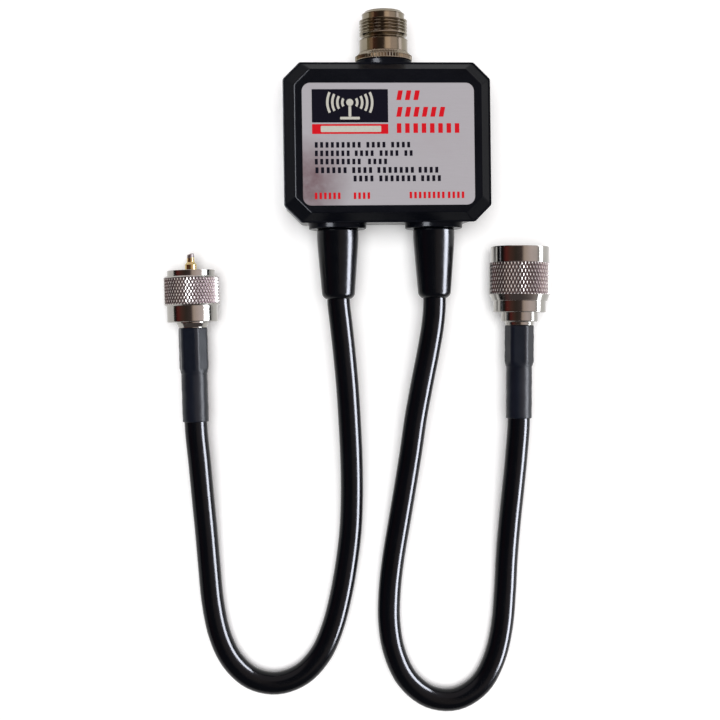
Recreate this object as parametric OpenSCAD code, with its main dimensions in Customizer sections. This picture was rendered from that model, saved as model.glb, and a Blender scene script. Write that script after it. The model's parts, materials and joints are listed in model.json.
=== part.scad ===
// Antenna duplexer: an eight-sided die-cast box with one threaded jack and two plugged leads.
// Origin at the middle of the rear cover's outer face. +X to the right of the label,
// +Y towards the jack and +Z out of the label. The box lies on its rear cover, and both
// leads run down from it, turn back in a U on the same surface and end in a plug.

/* [Housing] */
// Width across the widest line of the box
box_w = 66.6; // [64:0.2:74]
// Height across the widest line of the box
box_h = 51; // [49:0.5:58]
// Depth from the rear cover's outer face to the front face
box_d = 28.5; // [27:0.5:32]
// Cut across each of the four corners
corner_cut = 5.4; // [4.4:0.2:6.4]
// Rounding of the eight upright edges
edge_round = 1.2; // [0.6:0.1:1.6]
// Width of the front bevel along the left and right sides
side_bevel = 3.2; // [2.6:0.1:3.8]
// Width of the front bevel along the top and bottom sides
end_bevel = 2.6; // [2:0.1:3.2]
// Depth of the front bevel
bevel_depth = 4; // [2.6:0.1:4.6]
// How far each wall leans in from its widest line to the rear
wall_lean = 0.66; // [0.3:0.06:0.9]
// Thickness of the side walls at the rear
wall = 2.2; // [1.8:0.1:2.4]
// Thickness of the front wall
front_wall = 2.5; // [2:0.1:3]

/* [Rear cover] */
// Thickness of the rear cover
cover_t = 2; // [1.8:0.1:2.6]
// Diameter of the cover screws
cover_screw_d = 3; // [2.5:0.1:3.2]
// Diameter of the cover screws' countersunk heads
cover_head_d = 5.6; // [5.2:0.1:6]
// Length of the cover screws
cover_screw_l = 9; // [7:0.5:12]
// Diameter of the cast posts that take the cover screws
cover_post_d = 6.4; // [6:0.1:7]
// Distance of the cover screws from the widest line of the box
cover_screw_inset = 7.2; // [7:0.1:7.8]

/* [Label] */
// Width of the foil label
label_w = 55.5; // [40:0.5:56]
// Height of the foil label
label_h = 39.2; // [30:0.2:40]
// Thickness of the foil label
label_t = 0.2; // [0.15:0.05:0.4]
// Corner radius of the foil label
label_corner = 2.7; // [1:0.1:4]
// How far the label's centre lies below the centre of the box
label_drop = 1.1; // [0:0.1:2]

/* [Ports] */
// Diameter of the round cast boss under the jack
jack_boss_d = 18.6; // [18:0.1:20]
// How far the jack's boss stands out of the box
jack_boss_l = 2.4; // [2:0.1:4]
// Distance of each lead's axis from the widest line of the box
lead_inset = 17.3; // [17:0.1:18]
// Diameter of the round cast bosses under the boots
boot_boss_d = 19; // [17:0.5:20]
// How far the boots' bosses stand out of the box
boot_boss_l = 1.8; // [1.4:0.1:3]

/* [Jack] */
// Outer diameter of the jack's coupling thread
jack_thread_d = 15.875; // [15.6:0.025:16]
// Length of the coupling thread
jack_thread_l = 4.7; // [4:0.1:6]
// Diameter of the nose in front of the thread
jack_nose_d = 14; // [13:0.1:14.6]
// Length of the nose
jack_nose_l = 3; // [2:0.1:3.2]
// Diameter of the neck behind the thread
jack_neck_d = 14.1; // [13.4:0.1:14.8]
// Length of the neck with its two slopes
jack_neck_l = 1.8; // [1.4:0.1:2.4]
// Diameter of the plain body behind the neck
jack_body_d = 16; // [15.9:0.1:17]
// Length of the plain body
jack_body_l = 4; // [3:0.1:5]
// Diameter of the flange that seats on the boss
jack_flange_d = 18.8; // [17.6:0.1:19.4]
// Length of the flange with its flared top
jack_flange_l = 2.9; // [2:0.1:3.2]
// Diameter of the jack's barrel through the wall
jack_barrel_d = 12.7; // [12:0.1:13]
// Thickness of the washer inside the wall
jack_washer_t = 0.8; // [0.5:0.1:1]
// Thickness of the nut inside the wall
jack_nut_t = 2.6; // [2:0.1:3]
// Size of the nut across its flats
jack_nut_af = 15.9; // [15.5:0.1:17]
// Diameter of the mouth that a plug's outer contact enters
jack_mouth_d = 8.5; // [8.2:0.1:8.8]
// Depth of the mouth
jack_mouth_l = 10.5; // [10:0.1:11]
// Diameter of the white insulator behind the mouth
jack_insulator_d = 9.2; // [9:0.1:9.8]
// Diameter of the socket contact in the mouth
jack_socket_d = 3.04; // [2.8:0.02:3.2]
// Bore of the socket contact
jack_socket_bore = 1.64; // [1.6:0.02:1.8]
// How far the socket's end lies behind the rim
jack_socket_inset = 5; // [4.6:0.1:5.4]

/* [Boots] */
// Diameter of the boots at the box
boot_top_d = 13.6; // [13:0.1:14.6]
// Diameter of the boots near their mouth
boot_end_d = 11; // [10.4:0.1:12]
// Length of the boots outside the box
boot_l = 23; // [20:0.5:26]
// Diameter of the boots' neck through the wall
boot_neck_d = 10; // [9.6:0.1:10.6]

/* [Leads] */
// Outer diameter of the coaxial leads
lead_d = 7.6; // [7.2:0.1:7.7]
// Outer diameter of the leads' braid
braid_d = 6.5; // [6.4:0.05:6.6]
// Outer diameter of the leads' insulation under the braid
dielectric_d = 4.8; // [4.6:0.1:5]
// Diameter of the leads' centre wire
core_d = 1.4; // [1:0.1:1.5]
// Outer diameter of the clamp rings inside the box
clamp_d = 10.6; // [10.6:0.1:12]
// Length of the clamp rings
clamp_l = 3.5; // [3:0.1:4]

/* [Coupling nuts] */
// Bore of both coupling nuts, which stands for their inner thread
nut_thread_d = 14.9; // [14.7:0.05:15.1]

/* [Plug sleeves] */
// Length of the shrunk sleeves
sleeve_l = 31.2; // [29:0.1:34]
// Diameter of the sleeves over the lead
sleeve_d = 8.7; // [8.5:0.1:9.2]
// Size of the sleeves across the flats of the crimped part
sleeve_af = 9; // [8.9:0.05:9.4]
// Size of the crimped ferrules across their flats
ferrule_af = 8.2; // [8:0.1:8.4]
// Length of the HF plug's crimped ferrule
hf_ferrule_l = 13.6; // [12:0.1:15]
// Length of the VHF plug's crimped ferrule
vhf_ferrule_l = 12.3; // [11:0.1:15]
// Turn of the HF ferrule's flats round the plug's axis, in degrees
hf_crimp_turn = -15; // [-30:1:30]
// Turn of the VHF ferrule's flats round the plug's axis, in degrees
vhf_crimp_turn = -9; // [-30:1:30]

/* [HF plug] */
// Turn of the HF plug away from the box's upright axis, in degrees
hf_plug_turn = 1; // [-2:0.5:4]
// Diameter of the knurled part of the nut
hf_knurl_d = 18.3; // [17.8:0.1:19]
// Length of the knurled part of the nut
hf_knurl_l = 9.3; // [8:0.1:10]
// Diameter of the plain band behind the knurl
hf_band_d = 16.8; // [16.2:0.1:17.4]
// Length of the plain band
hf_band_l = 5.9; // [5.4:0.1:7]
// Diameter of the nut's front rim
hf_rim_d = 15.9; // [15.7:0.1:16.8]
// Length of the nut's front rim
hf_rim_l = 1.95; // [1.5:0.05:3]
// Diameter of the body where the nut turns on it
hf_neck_d = 10.6; // [10.2:0.1:11]
// Length of the cone between the sleeve and the nut
hf_cone_l = 1.9; // [1.5:0.1:2.4]
// Diameter of the body's barrel inside the nut
hf_barrel_d = 12; // [11.6:0.1:12.4]
// Diameter of the flange that keeps the nut on
hf_flange_d = 13.8; // [13.4:0.1:14.2]
// How far the insulator's face lies behind the nut's rim
hf_face_inset = 9.9; // [9.4:0.1:10.4]
// Diameter of the centre pin
hf_pin_d = 3.96; // [3.8:0.02:4.1]
// Length of the centre pin in front of the insulator
hf_pin_l = 15.7; // [15:0.1:16.5]
// Diameter of the pin's root inside the insulator
hf_root_d = 4.6; // [4.3:0.1:5]
// Diameter of the reduced tip of the centre pin
hf_tip_d = 2.2; // [2:0.1:2.6]
// Length of the reduced tip
hf_tip_l = 3.1; // [2.5:0.1:3.5]

/* [VHF plug] */
// Turn of the VHF plug away from the box's upright axis, in degrees
vhf_plug_turn = -1; // [-4:0.5:2]
// Diameter of the knurled part of the nut
vhf_knurl_d = 20.4; // [20:0.1:21]
// Length of the knurled part of the nut
vhf_knurl_l = 10.7; // [8.5:0.1:11.5]
// Diameter of the nut's front rim
vhf_rim_d = 19.6; // [18.6:0.1:20]
// Length of the nut's front rim
vhf_rim_l = 5.4; // [4.5:0.1:6]
// Length of the taper behind the knurl
vhf_taper_l = 2.1; // [1.6:0.1:2.6]
// Diameter of the nut's rear collar
vhf_collar_d = 17.7; // [17:0.1:18.4]
// Length of the nut's rear collar
vhf_collar_l = 3.9; // [3.9:0.1:4.6]
// Diameter of the body that the nut turns on
vhf_body_d = 12.4; // [12.2:0.1:12.8]
// Length of body that shows behind the nut
vhf_body_shown = 3.1; // [2.6:0.1:4]
// Diameter of the neck between the body and the sleeve
vhf_neck_d = 9.6; // [9.3:0.1:10]
// Length of that neck
vhf_neck_l = 1.3; // [1:0.1:2]
// Outer diameter of the plug's outer contact
vhf_contact_d = 8.1; // [8:0.05:8.2]
// Inner diameter of the plug's outer contact
vhf_contact_bore = 7; // [6.9:0.05:7.2]
// How far the outer contact's edge lies behind the nut's rim
vhf_contact_inset = 4.4; // [4.2:0.1:5]
// Length of the outer contact in front of the body's shoulder
vhf_contact_l = 8.8; // [8:0.1:9.4]
// Diameter of the centre pin's tip
vhf_tip_d = 1.6; // [1.56:0.02:1.68]
// Length of the centre pin's tip
vhf_tip_l = 4.8; // [4.4:0.1:5.2]
// Thickness of the rubber gasket
vhf_gasket_t = 1; // [0.8:0.1:1.4]

/* [Board] */
// Thickness of the circuit board
board_t = 1.6; // [1.2:0.1:2]
// Height of the cast posts under the board
board_post_l = 4.5; // [4:0.1:5]
// Diameter of those posts
board_post_d = 5; // [4.6:0.1:5.6]
// Diameter of the board screws
board_screw_d = 2; // [1.8:0.1:2.5]
// Thickness of the tin wall between the two filters
shield_t = 0.5; // [0.3:0.1:0.8]
// Room between that wall's edge and the rear cover
shield_room = 4; // [2:0.5:8]
// Outer diameter of the low-pass coils
lowpass_coil_d = 9; // [8:0.5:9.5]
// Outer diameter of the high-pass coils
highpass_coil_d = 6.5; // [5.5:0.5:7]
// Diameter of the coil wire
coil_wire_d = 1.2; // [0.8:0.1:1.4]
// Diameter of the disc capacitors
disc_d = 7; // [6:0.5:8]
// Thickness of the disc capacitors
disc_t = 2.4; // [2:0.2:3]

/* [Hidden] */
// Round things use this many facets when they are drawn.
$fn = 64;
// Pieces seated in each other keep this radial gap.
seat_gap = 0.03;
// A nut that turns on its plug keeps this radial gap.
run_gap = 0.05;
// Turning and still pieces keep this gap along the plug.
side_gap = 0.4;
// Cutting shapes pass through a face by this much.
past = 1;

// Walls and hollows of the box
rim_z = box_d - bevel_depth;
back_w = box_w - 2 * wall_lean;
back_h = box_h - 2 * wall_lean;
hollow_w = back_w - 2 * wall;
hollow_h = back_h - 2 * wall;
hollow_z = box_d - front_wall;
port_z = (cover_t + hollow_z) / 2;
cover_screw_x = box_w / 2 - cover_screw_inset;
cover_screw_y = box_h / 2 - cover_screw_inset;
cover_thread_l = cover_screw_l - cover_t;
cover_head_l = (cover_head_d - cover_screw_d) / 2;

// Seats of the jack and of the boots
jack_seat_y = box_h / 2 + jack_boss_l;
boot_seat_y = -box_h / 2 - boot_boss_l;
jack_wall_l = jack_seat_y - hollow_h / 2;
boot_wall_l = -boot_seat_y - hollow_h / 2;
jack_barrel_l = jack_wall_l + jack_washer_t + jack_nut_t + 0.6;
jack_body_z = jack_flange_l + jack_body_l;
jack_thread_z = jack_body_z + jack_neck_l;
jack_nose_z = jack_thread_z + jack_thread_l;
jack_l = jack_nose_z + jack_nose_l;
jack_mouth_z = jack_l - jack_mouth_l;
jack_socket_z = jack_l - jack_socket_inset;
jack_wire_z = -jack_barrel_l - 2.5;
jack_nose_chamfer = 0.8;
lead_x = box_w / 2 - lead_inset;

// Circuit board, held between the jack's barrel and the leads' clamp rings
board_gap = 0.8;
board_front = hollow_z - board_post_l;
board_back = board_front - board_t;
board_w = 2 * (cover_screw_x - cover_post_d / 2 - board_gap);
board_top = jack_seat_y - jack_barrel_l - board_gap;
board_low = -hollow_h / 2 + clamp_l + board_gap;
board_mid = (board_top + board_low) / 2;
board_screw_inset = 3.2;
board_screw_xs = [-board_w / 2 + board_screw_inset, board_w / 2 - board_screw_inset];
board_screw_ys = [board_low + board_screw_inset, board_top - board_screw_inset];
board_head_d = 2 * board_screw_d;
board_head_l = 0.7 * board_screw_d;
board_screw_l = board_t + 1.5 * board_screw_d;
component_x = 0.27 * board_w;
disc_x = board_w / 2 - disc_t / 2 - 0.6;
coil_pitch_y = 12;
disc_pitch_y = 9;
coil_lift = 1.2;

// Routes of the two leads, each from its boot's mouth to its plug's sleeve
lead_start_y = boot_seat_y - boot_l;
hf_route = [
    [-15.3, -58, 13.9], [-14.3, -68, 13.4], [-13.3, -80, 12.3], [-12.6, -92, 10.8],
    [-12.1, -104, 9.1], [-12, -116, 7.4], [-12.5, -128, 5.8], [-14, -140, 4.6],
    [-16.2, -151.5, 4], [-19, -161.5, 3.8], [-23, -170.2, 3.8], [-29.5, -177, 3.8],
    [-38, -179.8, 3.8], [-46.5, -177.8, 3.8], [-53, -171.6, 3.8], [-57, -163, 3.8],
    [-59.2, -152, 3.8], [-60.2, -140, 4.2], [-61, -128, 5.4], [-61.9, -116, 7.1],
    [-62.7, -105, 8.5]
];
vhf_route = [
    [15.5, -58, 13.9], [14, -67, 13.5], [11.8, -78, 12.6], [9.6, -90, 11.1],
    [7.9, -102, 9.4], [6, -114, 7.7], [4, -126, 6.1], [2, -138, 4.8],
    [0.7, -149, 4], [0.4, -160, 3.8], [2, -170.3, 3.8], [6.3, -179.7, 3.8],
    [13.8, -186, 3.8], [23, -187.1, 3.8], [31.3, -182.3, 3.8], [36.4, -173.4, 3.8],
    [39.1, -162.5, 3.8], [40.3, -150.5, 3.8], [40.9, -138.5, 4.8], [41.7, -126.5, 6.6],
    [42.7, -115, 8.4], [43.7, -103.5, 9.8]
];
hf_plug_xy = [-63.8, -90.4];
vhf_plug_xy = [44.6, -91];
lead_sides = 12;

// Both plugs, measured along their axis from the sleeve's mouth
hf_ferrule_z = sleeve_l - 0.1 - hf_ferrule_l;
vhf_ferrule_z = sleeve_l - 0.1 - vhf_ferrule_l;
stem_wall = 0.53;
stem_bore_d = dielectric_d + 2 * seat_gap;
stem_d = stem_bore_d + 2 * stem_wall;
hf_core_l = 10;
vhf_core_l = 7;
hf_plug_z = hf_knurl_d / 2;
hf_nut_z = sleeve_l + hf_cone_l;
hf_knurl_z = hf_nut_z + hf_band_l;
hf_rim_z = hf_knurl_z + hf_knurl_l;
hf_nut_end = hf_rim_z + hf_rim_l;
hf_lip_l = 2.6;
hf_face_z = hf_nut_end - hf_face_inset;
hf_barrel_z = hf_face_z + 0.2;
hf_tooth_l = 0.8;
hf_flange_z = hf_nut_z + hf_lip_l + side_gap;
hf_flange_l = 1.4;
hf_seat_z = hf_flange_z + 0.4;
hf_seat_d = 9.6;
hf_pin_end = hf_face_z + hf_pin_l;
hf_step_l = 0.8;
hf_tip_taper = 0.3;
vhf_plug_z = vhf_knurl_d / 2;
vhf_body_z = sleeve_l + vhf_neck_l;
vhf_nut_z = vhf_body_z + vhf_body_shown;
vhf_taper_z = vhf_nut_z + vhf_collar_l;
vhf_knurl_z = vhf_taper_z + vhf_taper_l;
vhf_rim_z = vhf_knurl_z + vhf_knurl_l;
vhf_nut_end = vhf_rim_z + vhf_rim_l;
vhf_mouth_l = 2.2;
vhf_mouth_d = 16.3;
vhf_contact_z = vhf_nut_end - vhf_contact_inset;
vhf_shoulder_z = vhf_contact_z - vhf_contact_l;
vhf_ring_t = 1;
vhf_ring_z = vhf_nut_z + 1.6;
vhf_ring_d = vhf_body_d + 0.7;
vhf_groove_d = vhf_body_d - 1.2;
vhf_base_d = jack_socket_d;
vhf_seat_z = vhf_nut_z + 0.4;

// Eight-sided outline of the box with its corners cut
module eight_sides(w, h, cut) {
    polygon([
        [w / 2, -h / 2 + cut], [w / 2, h / 2 - cut], [w / 2 - cut, h / 2], [-w / 2 + cut, h / 2],
        [-w / 2, h / 2 - cut], [-w / 2, -h / 2 + cut], [-w / 2 + cut, -h / 2], [w / 2 - cut, -h / 2]
    ]);
}

// Thin slice of the box at height z, drawn in from its widest line
module box_slice(z, in_x, in_y, cut) {
    translate([0, 0, z])
        linear_extrude(0.01)
            offset(r = edge_round, $fn = 24)
                offset(delta = -edge_round)
                    eight_sides(box_w - 2 * in_x, box_h - 2 * in_y, cut);
}

// Points of an arc around (x, y), for profiles that are turned
function arc(x, y, r, from, to, steps = 6) =
    [for (i = [0:steps]) let (a = from + (to - from) * i / steps) [x + r * cos(a), y + r * sin(a)]];

// Ring with its axis on Z
module ring(outer_d, inner_d, low, high) {
    rotate_extrude()
        polygon([[inner_d / 2, low], [outer_d / 2, low], [outer_d / 2, high], [inner_d / 2, high]]);
}

// Places a turned piece on the jack's axis, with its +Z along +Y and zero at the boss
module on_jack() {
    translate([0, jack_seat_y, port_z])
        rotate([-90, 0, 0])
            children();
}

// Places a turned piece on a lead's axis, with its +Z along -Y and zero at the boss
module on_boot(side) {
    translate([side * lead_x, boot_seat_y, port_z])
        rotate([90, 0, 0])
            children();
}

module on_hf_plug() {
    translate([hf_plug_xy[0], hf_plug_xy[1], hf_plug_z])
        rotate([0, 0, hf_plug_turn])
            rotate([-90, 0, 0])
                children();
}

module on_vhf_plug() {
    translate([vhf_plug_xy[0], vhf_plug_xy[1], vhf_plug_z])
        rotate([0, 0, vhf_plug_turn])
            rotate([-90, 0, 0])
                children();
}

// Points of each of the four cover screws
module at_cover_screws() {
    for (x = [-cover_screw_x, cover_screw_x], y = [-cover_screw_y, cover_screw_y])
        translate([x, y, 0])
            children();
}

module at_board_screws() {
    for (x = board_screw_xs, y = board_screw_ys)
        translate([x, y, 0])
            children();
}

// Round cast boss with a rounded outer edge, standing on +Z from inside the wall
module cast_boss(d, wall_l, edge = 0.7) {
    rotate_extrude()
        polygon(concat([[0, -wall_l], [d / 2, -wall_l]], arc(d / 2 - edge, -edge, edge, 0, 90), [[0, 0]]));
}

module box_shell() {
    hull() {
        box_slice(cover_t, wall_lean, wall_lean, corner_cut);
        box_slice(rim_z - 0.5, 0.01, 0.01, corner_cut);
        box_slice(rim_z + 0.2, 0.15, 0.12, corner_cut);
        box_slice(box_d - 0.45, side_bevel - 0.5, end_bevel - 0.4, corner_cut - 0.3);
        box_slice(box_d - 0.12, side_bevel - 0.05, end_bevel - 0.04, corner_cut - 0.4);
        box_slice(box_d - 0.01, side_bevel + 0.4, end_bevel + 0.3, corner_cut - 0.5);
    }
}

module front_housing() {
    color([0.03, 0.03, 0.035])
        difference() {
            union() {
                difference() {
                    union() {
                        box_shell();
                        on_jack() cast_boss(jack_boss_d, jack_wall_l);
                        on_boot(-1) cast_boss(boot_boss_d, boot_wall_l);
                        on_boot(1) cast_boss(boot_boss_d, boot_wall_l);
                    }
                    translate([0, 0, cover_t - past])
                        linear_extrude(hollow_z - cover_t + past)
                            eight_sides(hollow_w, hollow_h, corner_cut);
                }
                at_cover_screws()
                    translate([0, 0, cover_t])
                        cylinder(d = cover_post_d, h = hollow_z - cover_t + 0.5);
                at_board_screws()
                    translate([0, 0, board_front])
                        cylinder(d = board_post_d, h = board_post_l + 0.5);
            }
            at_cover_screws()
                translate([0, 0, cover_t - past])
                    cylinder(d = cover_screw_d + 2 * seat_gap, h = cover_thread_l + past + 0.5);
            at_board_screws()
                translate([0, 0, board_front - past])
                    cylinder(d = board_screw_d + 2 * seat_gap, h = board_screw_l - board_t + past + 0.3);
            on_jack()
                translate([0, 0, -jack_wall_l - past])
                    cylinder(d = jack_barrel_d + 2 * seat_gap, h = jack_wall_l + 2 * past);
            for (side = [-1, 1])
                on_boot(side)
                    translate([0, 0, -boot_wall_l - past])
                        cylinder(d = boot_neck_d + 2 * seat_gap, h = boot_wall_l + 2 * past);
        }
}

module rear_cover() {
    color([0.035, 0.035, 0.04])
        difference() {
            linear_extrude(cover_t)
                eight_sides(back_w - 0.3, back_h - 0.3, corner_cut);
            at_cover_screws() {
                translate([0, 0, -past])
                    cylinder(d = cover_screw_d + 2 * seat_gap, h = cover_t + 2 * past);
                translate([0, 0, -0.01])
                    cylinder(d1 = cover_head_d + 0.3, d2 = cover_screw_d + 0.3, h = cover_head_l);
            }
        }
}

module cover_screws() {
    slot_w = 0.8;
    slot_l = 0.6 * cover_head_d;
    color([0.62, 0.62, 0.64])
        at_cover_screws()
            difference() {
                rotate_extrude()
                    polygon([
                        [0, 0.1], [cover_head_d / 2, 0.1], [cover_screw_d / 2, 0.1 + cover_head_l],
                        [cover_screw_d / 2, cover_screw_l - 0.5], [cover_screw_d / 2 - 0.5, cover_screw_l],
                        [0, cover_screw_l]
                    ]);
                for (turn = [0, 90])
                    rotate([0, 0, turn])
                        cube([slot_l, slot_w, 2 * (cover_head_l - 0.2)], center = true);
            }
}

module rating_label() {
    color([0.70, 0.69, 0.71])
        translate([0, -label_drop, box_d])
            linear_extrude(label_t) {
                square([label_w - 2 * label_corner, label_h], center = true);
                square([label_w, label_h - 2 * label_corner], center = true);
                for (x = [-1, 1], y = [-1, 1])
                    translate([x * (label_w / 2 - label_corner), y * (label_h / 2 - label_corner)])
                        circle(r = label_corner);
            }
}

module antenna_port_shell() {
    flange_edge = 1.6;
    neck_slope = (jack_neck_l - 0.2) / 2;
    color([0.66, 0.65, 0.62])
        on_jack()
            rotate_extrude()
                polygon([
                    [jack_insulator_d / 2, -jack_barrel_l], [jack_barrel_d / 2, -jack_barrel_l],
                    [jack_barrel_d / 2, 0], [jack_flange_d / 2, 0],
                    [jack_flange_d / 2, flange_edge], [jack_body_d / 2, jack_flange_l],
                    [jack_body_d / 2, jack_body_z], [jack_neck_d / 2, jack_body_z + neck_slope],
                    [jack_neck_d / 2, jack_thread_z - neck_slope], [jack_thread_d / 2, jack_thread_z],
                    [jack_thread_d / 2, jack_nose_z], [jack_nose_d / 2, jack_nose_z],
                    [jack_nose_d / 2, jack_l - jack_nose_chamfer], [jack_nose_d / 2 - jack_nose_chamfer, jack_l],
                    [jack_mouth_d / 2, jack_l], [jack_mouth_d / 2, jack_mouth_z],
                    [jack_insulator_d / 2, jack_mouth_z]
                ]);
}

module antenna_port_insulator() {
    color([0.93, 0.93, 0.90])
        on_jack()
            ring(jack_insulator_d - 2 * seat_gap, jack_socket_d + 2 * seat_gap, -jack_barrel_l, jack_mouth_z);
}

module antenna_port_contact() {
    slot_w = 0.35;
    slot_l = 4;
    socket_l = 6;
    color([0.83, 0.65, 0.25])
        on_jack()
            difference() {
                translate([0, 0, jack_wire_z])
                    cylinder(d = jack_socket_d, h = jack_socket_z - jack_wire_z);
                translate([0, 0, jack_socket_z - socket_l])
                    cylinder(d = jack_socket_bore, h = socket_l + past);
                for (turn = [0, 90])
                    rotate([0, 0, turn])
                        translate([-jack_socket_d, -slot_w / 2, jack_socket_z - slot_l])
                            cube([2 * jack_socket_d, slot_w, slot_l + past]);
            }
}

module antenna_port_washer() {
    color([0.60, 0.60, 0.58])
        on_jack()
            ring(jack_nut_af, jack_barrel_d + 2 * seat_gap, -jack_wall_l - jack_washer_t, -jack_wall_l);
}

module antenna_port_nut() {
    low = -jack_wall_l - jack_washer_t - jack_nut_t;
    color([0.66, 0.65, 0.62])
        on_jack()
            difference() {
                translate([0, 0, low])
                    cylinder(d = jack_nut_af / cos(30), h = jack_nut_t, $fn = 6);
                translate([0, 0, low - past])
                    cylinder(d = jack_barrel_d + 2 * seat_gap, h = jack_nut_t + 2 * past);
            }
}

// Bare wire from the jack's contact up to the board
module antenna_wire() {
    wire_y = jack_seat_y + jack_wire_z - core_d / 2;
    color([0.78, 0.45, 0.25])
        translate([0, wire_y, port_z - core_d])
            cylinder(d = core_d, h = board_back - port_z + core_d);
}

module boot(side) {
    edge = 0.6;
    end_round = 2.4;
    lip = 0.2;
    belly_z = 3;
    bore_r = lead_d / 2 + seat_gap;
    end_x = boot_end_d / 2 - end_round;
    taper_turn = 5;
    mouth_turn = acos((bore_r + lip - end_x) / end_round);
    on_boot(side)
        rotate_extrude()
            polygon(concat(
                [[bore_r, -boot_wall_l], [boot_neck_d / 2, -boot_wall_l], [boot_neck_d / 2, 0]],
                arc(boot_top_d / 2 - edge, edge, edge, -90, 0),
                [[boot_top_d / 2 + 0.08, belly_z]],
                [[boot_top_d / 2 - 0.1, 2 * belly_z]],
                arc(end_x, boot_l - end_round * sin(mouth_turn), end_round, taper_turn, mouth_turn),
                [[bore_r, boot_l]]
            ));
}

module hf_boot() {
    color([0.02, 0.02, 0.025]) boot(-1);
}

module vhf_boot() {
    color([0.02, 0.02, 0.025]) boot(1);
}

// Stretch of a lead held in its boot and stripped for the board
module lead_inner_end(side) {
    jacket_z = -boot_wall_l - clamp_l;
    braid_z = jacket_z - 0.8;
    dielectric_z = braid_z - 1.2;
    core_z = dielectric_z - 1;
    on_boot(side) {
        rotate_extrude()
            polygon([
                [0, dielectric_z], [dielectric_d / 2, dielectric_z], [dielectric_d / 2, braid_z],
                [braid_d / 2, braid_z], [braid_d / 2, jacket_z], [lead_d / 2, jacket_z],
                [lead_d / 2, boot_l], [0, boot_l]
            ]);
        translate([0, 0, core_z])
            cylinder(d = core_d, h = dielectric_z - core_z + 0.1);
        translate([0, 0, core_z])
            rotate([-90, 0, 0])
                cylinder(d = core_d, h = board_back - port_z);
        translate([0, 0, core_z])
            sphere(d = core_d, $fn = 24);
    }
}

module hf_lead_inner_end() {
    color([0.05, 0.05, 0.05]) lead_inner_end(-1);
}

module vhf_lead_inner_end() {
    color([0.05, 0.05, 0.05]) lead_inner_end(1);
}

module lead_clamp_rings() {
    color([0.72, 0.58, 0.28])
        for (side = [-1, 1])
            on_boot(side)
                ring(clamp_d, lead_d + 2 * seat_gap, -boot_wall_l - clamp_l, -boot_wall_l);
}

module circuit_board() {
    color([0.10, 0.32, 0.18])
        difference() {
            translate([-board_w / 2, board_low, board_back])
                cube([board_w, board_top - board_low, board_t]);
            at_board_screws()
                translate([0, 0, board_back - past])
                    cylinder(d = board_screw_d + 2 * seat_gap, h = board_t + 2 * past);
        }
}

module board_screws() {
    color([0.70, 0.70, 0.72])
        at_board_screws() {
            translate([0, 0, board_back])
                cylinder(d = board_screw_d, h = board_screw_l);
            translate([0, 0, board_back - board_head_l])
                cylinder(d = board_head_d, h = board_head_l);
        }
}

module shield_plate() {
    clear_end = 2.5;
    shield_depth = board_back - cover_t - shield_room;
    color([0.75, 0.75, 0.76])
        translate([-shield_t / 2, board_low + 1, cover_t + shield_room])
            cube([shield_t, board_top - board_low - 1 - clear_end - 2 * core_d, shield_depth]);
}

// Air-wound coil along X, hung under the board by its two straight ends
module coil(x, y, d, turns) {
    pitch = 1.5 * coil_wire_d;
    steps = 12;
    sides = 6;
    r = (d - coil_wire_d) / 2;
    half = turns * pitch / 2;
    axis_z = board_back - coil_lift - d / 2;
    path = concat(
        [[x - half, y, board_back]],
        [for (i = [0:turns * steps])
            let (a = 360 * i / steps)
                [x - half + pitch * i / steps, y - r * sin(a), axis_z + r * cos(a)]],
        [[x + half, y, board_back]]
    );
    tube(path, coil_wire_d / 2, sides, side = [1, 0, 0]);
}

module lowpass_coils() {
    color([0.80, 0.45, 0.22])
        for (n = [-0.5, 0.5])
            coil(-component_x, board_mid + n * coil_pitch_y, lowpass_coil_d, 5);
}

module highpass_coils() {
    color([0.80, 0.45, 0.22])
        for (n = [-0.5, 0.5])
            coil(component_x, board_mid + n * coil_pitch_y, highpass_coil_d, 3);
}

// Disc capacitor on edge, hung under the board by its two wires
module disc_capacitor(x, y) {
    wire_d = 0.7;
    disc_z = board_back - 1.5 - disc_d / 2;
    translate([x - disc_t / 2, y, disc_z])
        rotate([0, 90, 0])
            cylinder(d = disc_d, h = disc_t);
    for (n = [-1, 1])
        translate([x, y + n * disc_d / 4, disc_z])
            cylinder(d = wire_d, h = board_back - disc_z);
}

module lowpass_capacitors() {
    color([0.78, 0.50, 0.20])
        for (n = [-1, 0, 1])
            disc_capacitor(-disc_x, board_mid + n * disc_pitch_y);
}

module highpass_capacitors() {
    color([0.20, 0.35, 0.62])
        for (n = [-1, 0, 1])
            disc_capacitor(disc_x, board_mid + n * disc_pitch_y);
}

// Tube swept along a path of points, with flat ends square to the given directions.
// Each ring is laid out from a side direction: level, or the one that is given.
function unit(v) = v / norm(v);
function ring_at(p, t, side, r, sides) =
    let (flat = is_undef(side) ? cross(t, [0, 0, 1]) : side - (side * t) * t, s = unit(flat), w = cross(s, t))
        [for (i = [0:sides - 1]) p + r * cos(360 * i / sides) * s + r * sin(360 * i / sides) * w];
function way(path, i) =
    i == 0 ? unit(path[1] - path[0]) :
    i == len(path) - 1 ? unit(path[i] - path[i - 1]) :
    unit(unit(path[i + 1] - path[i]) + unit(path[i] - path[i - 1]));

module tube(path, r, sides, side = undef, first = undef, last = undef) {
    count = len(path);
    ways = [for (i = [0:count - 1])
        i == 0 && !is_undef(first) ? first : i == count - 1 && !is_undef(last) ? last : way(path, i)];
    points = [for (i = [0:count - 1]) each ring_at(path[i], ways[i], side, r, sides)];
    walls = [for (i = [0:count - 2], j = [0:sides - 1])
        let (a = i * sides + j, b = i * sides + (j + 1) % sides)
            each [[a, b, b + sides], [a, b + sides, a + sides]]];
    caps = [
        [for (j = [sides - 1:-1:0]) j],
        [for (j = [0:sides - 1]) (count - 1) * sides + j]
    ];
    polyhedron(points, concat(walls, caps), convexity = 8);
}

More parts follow.
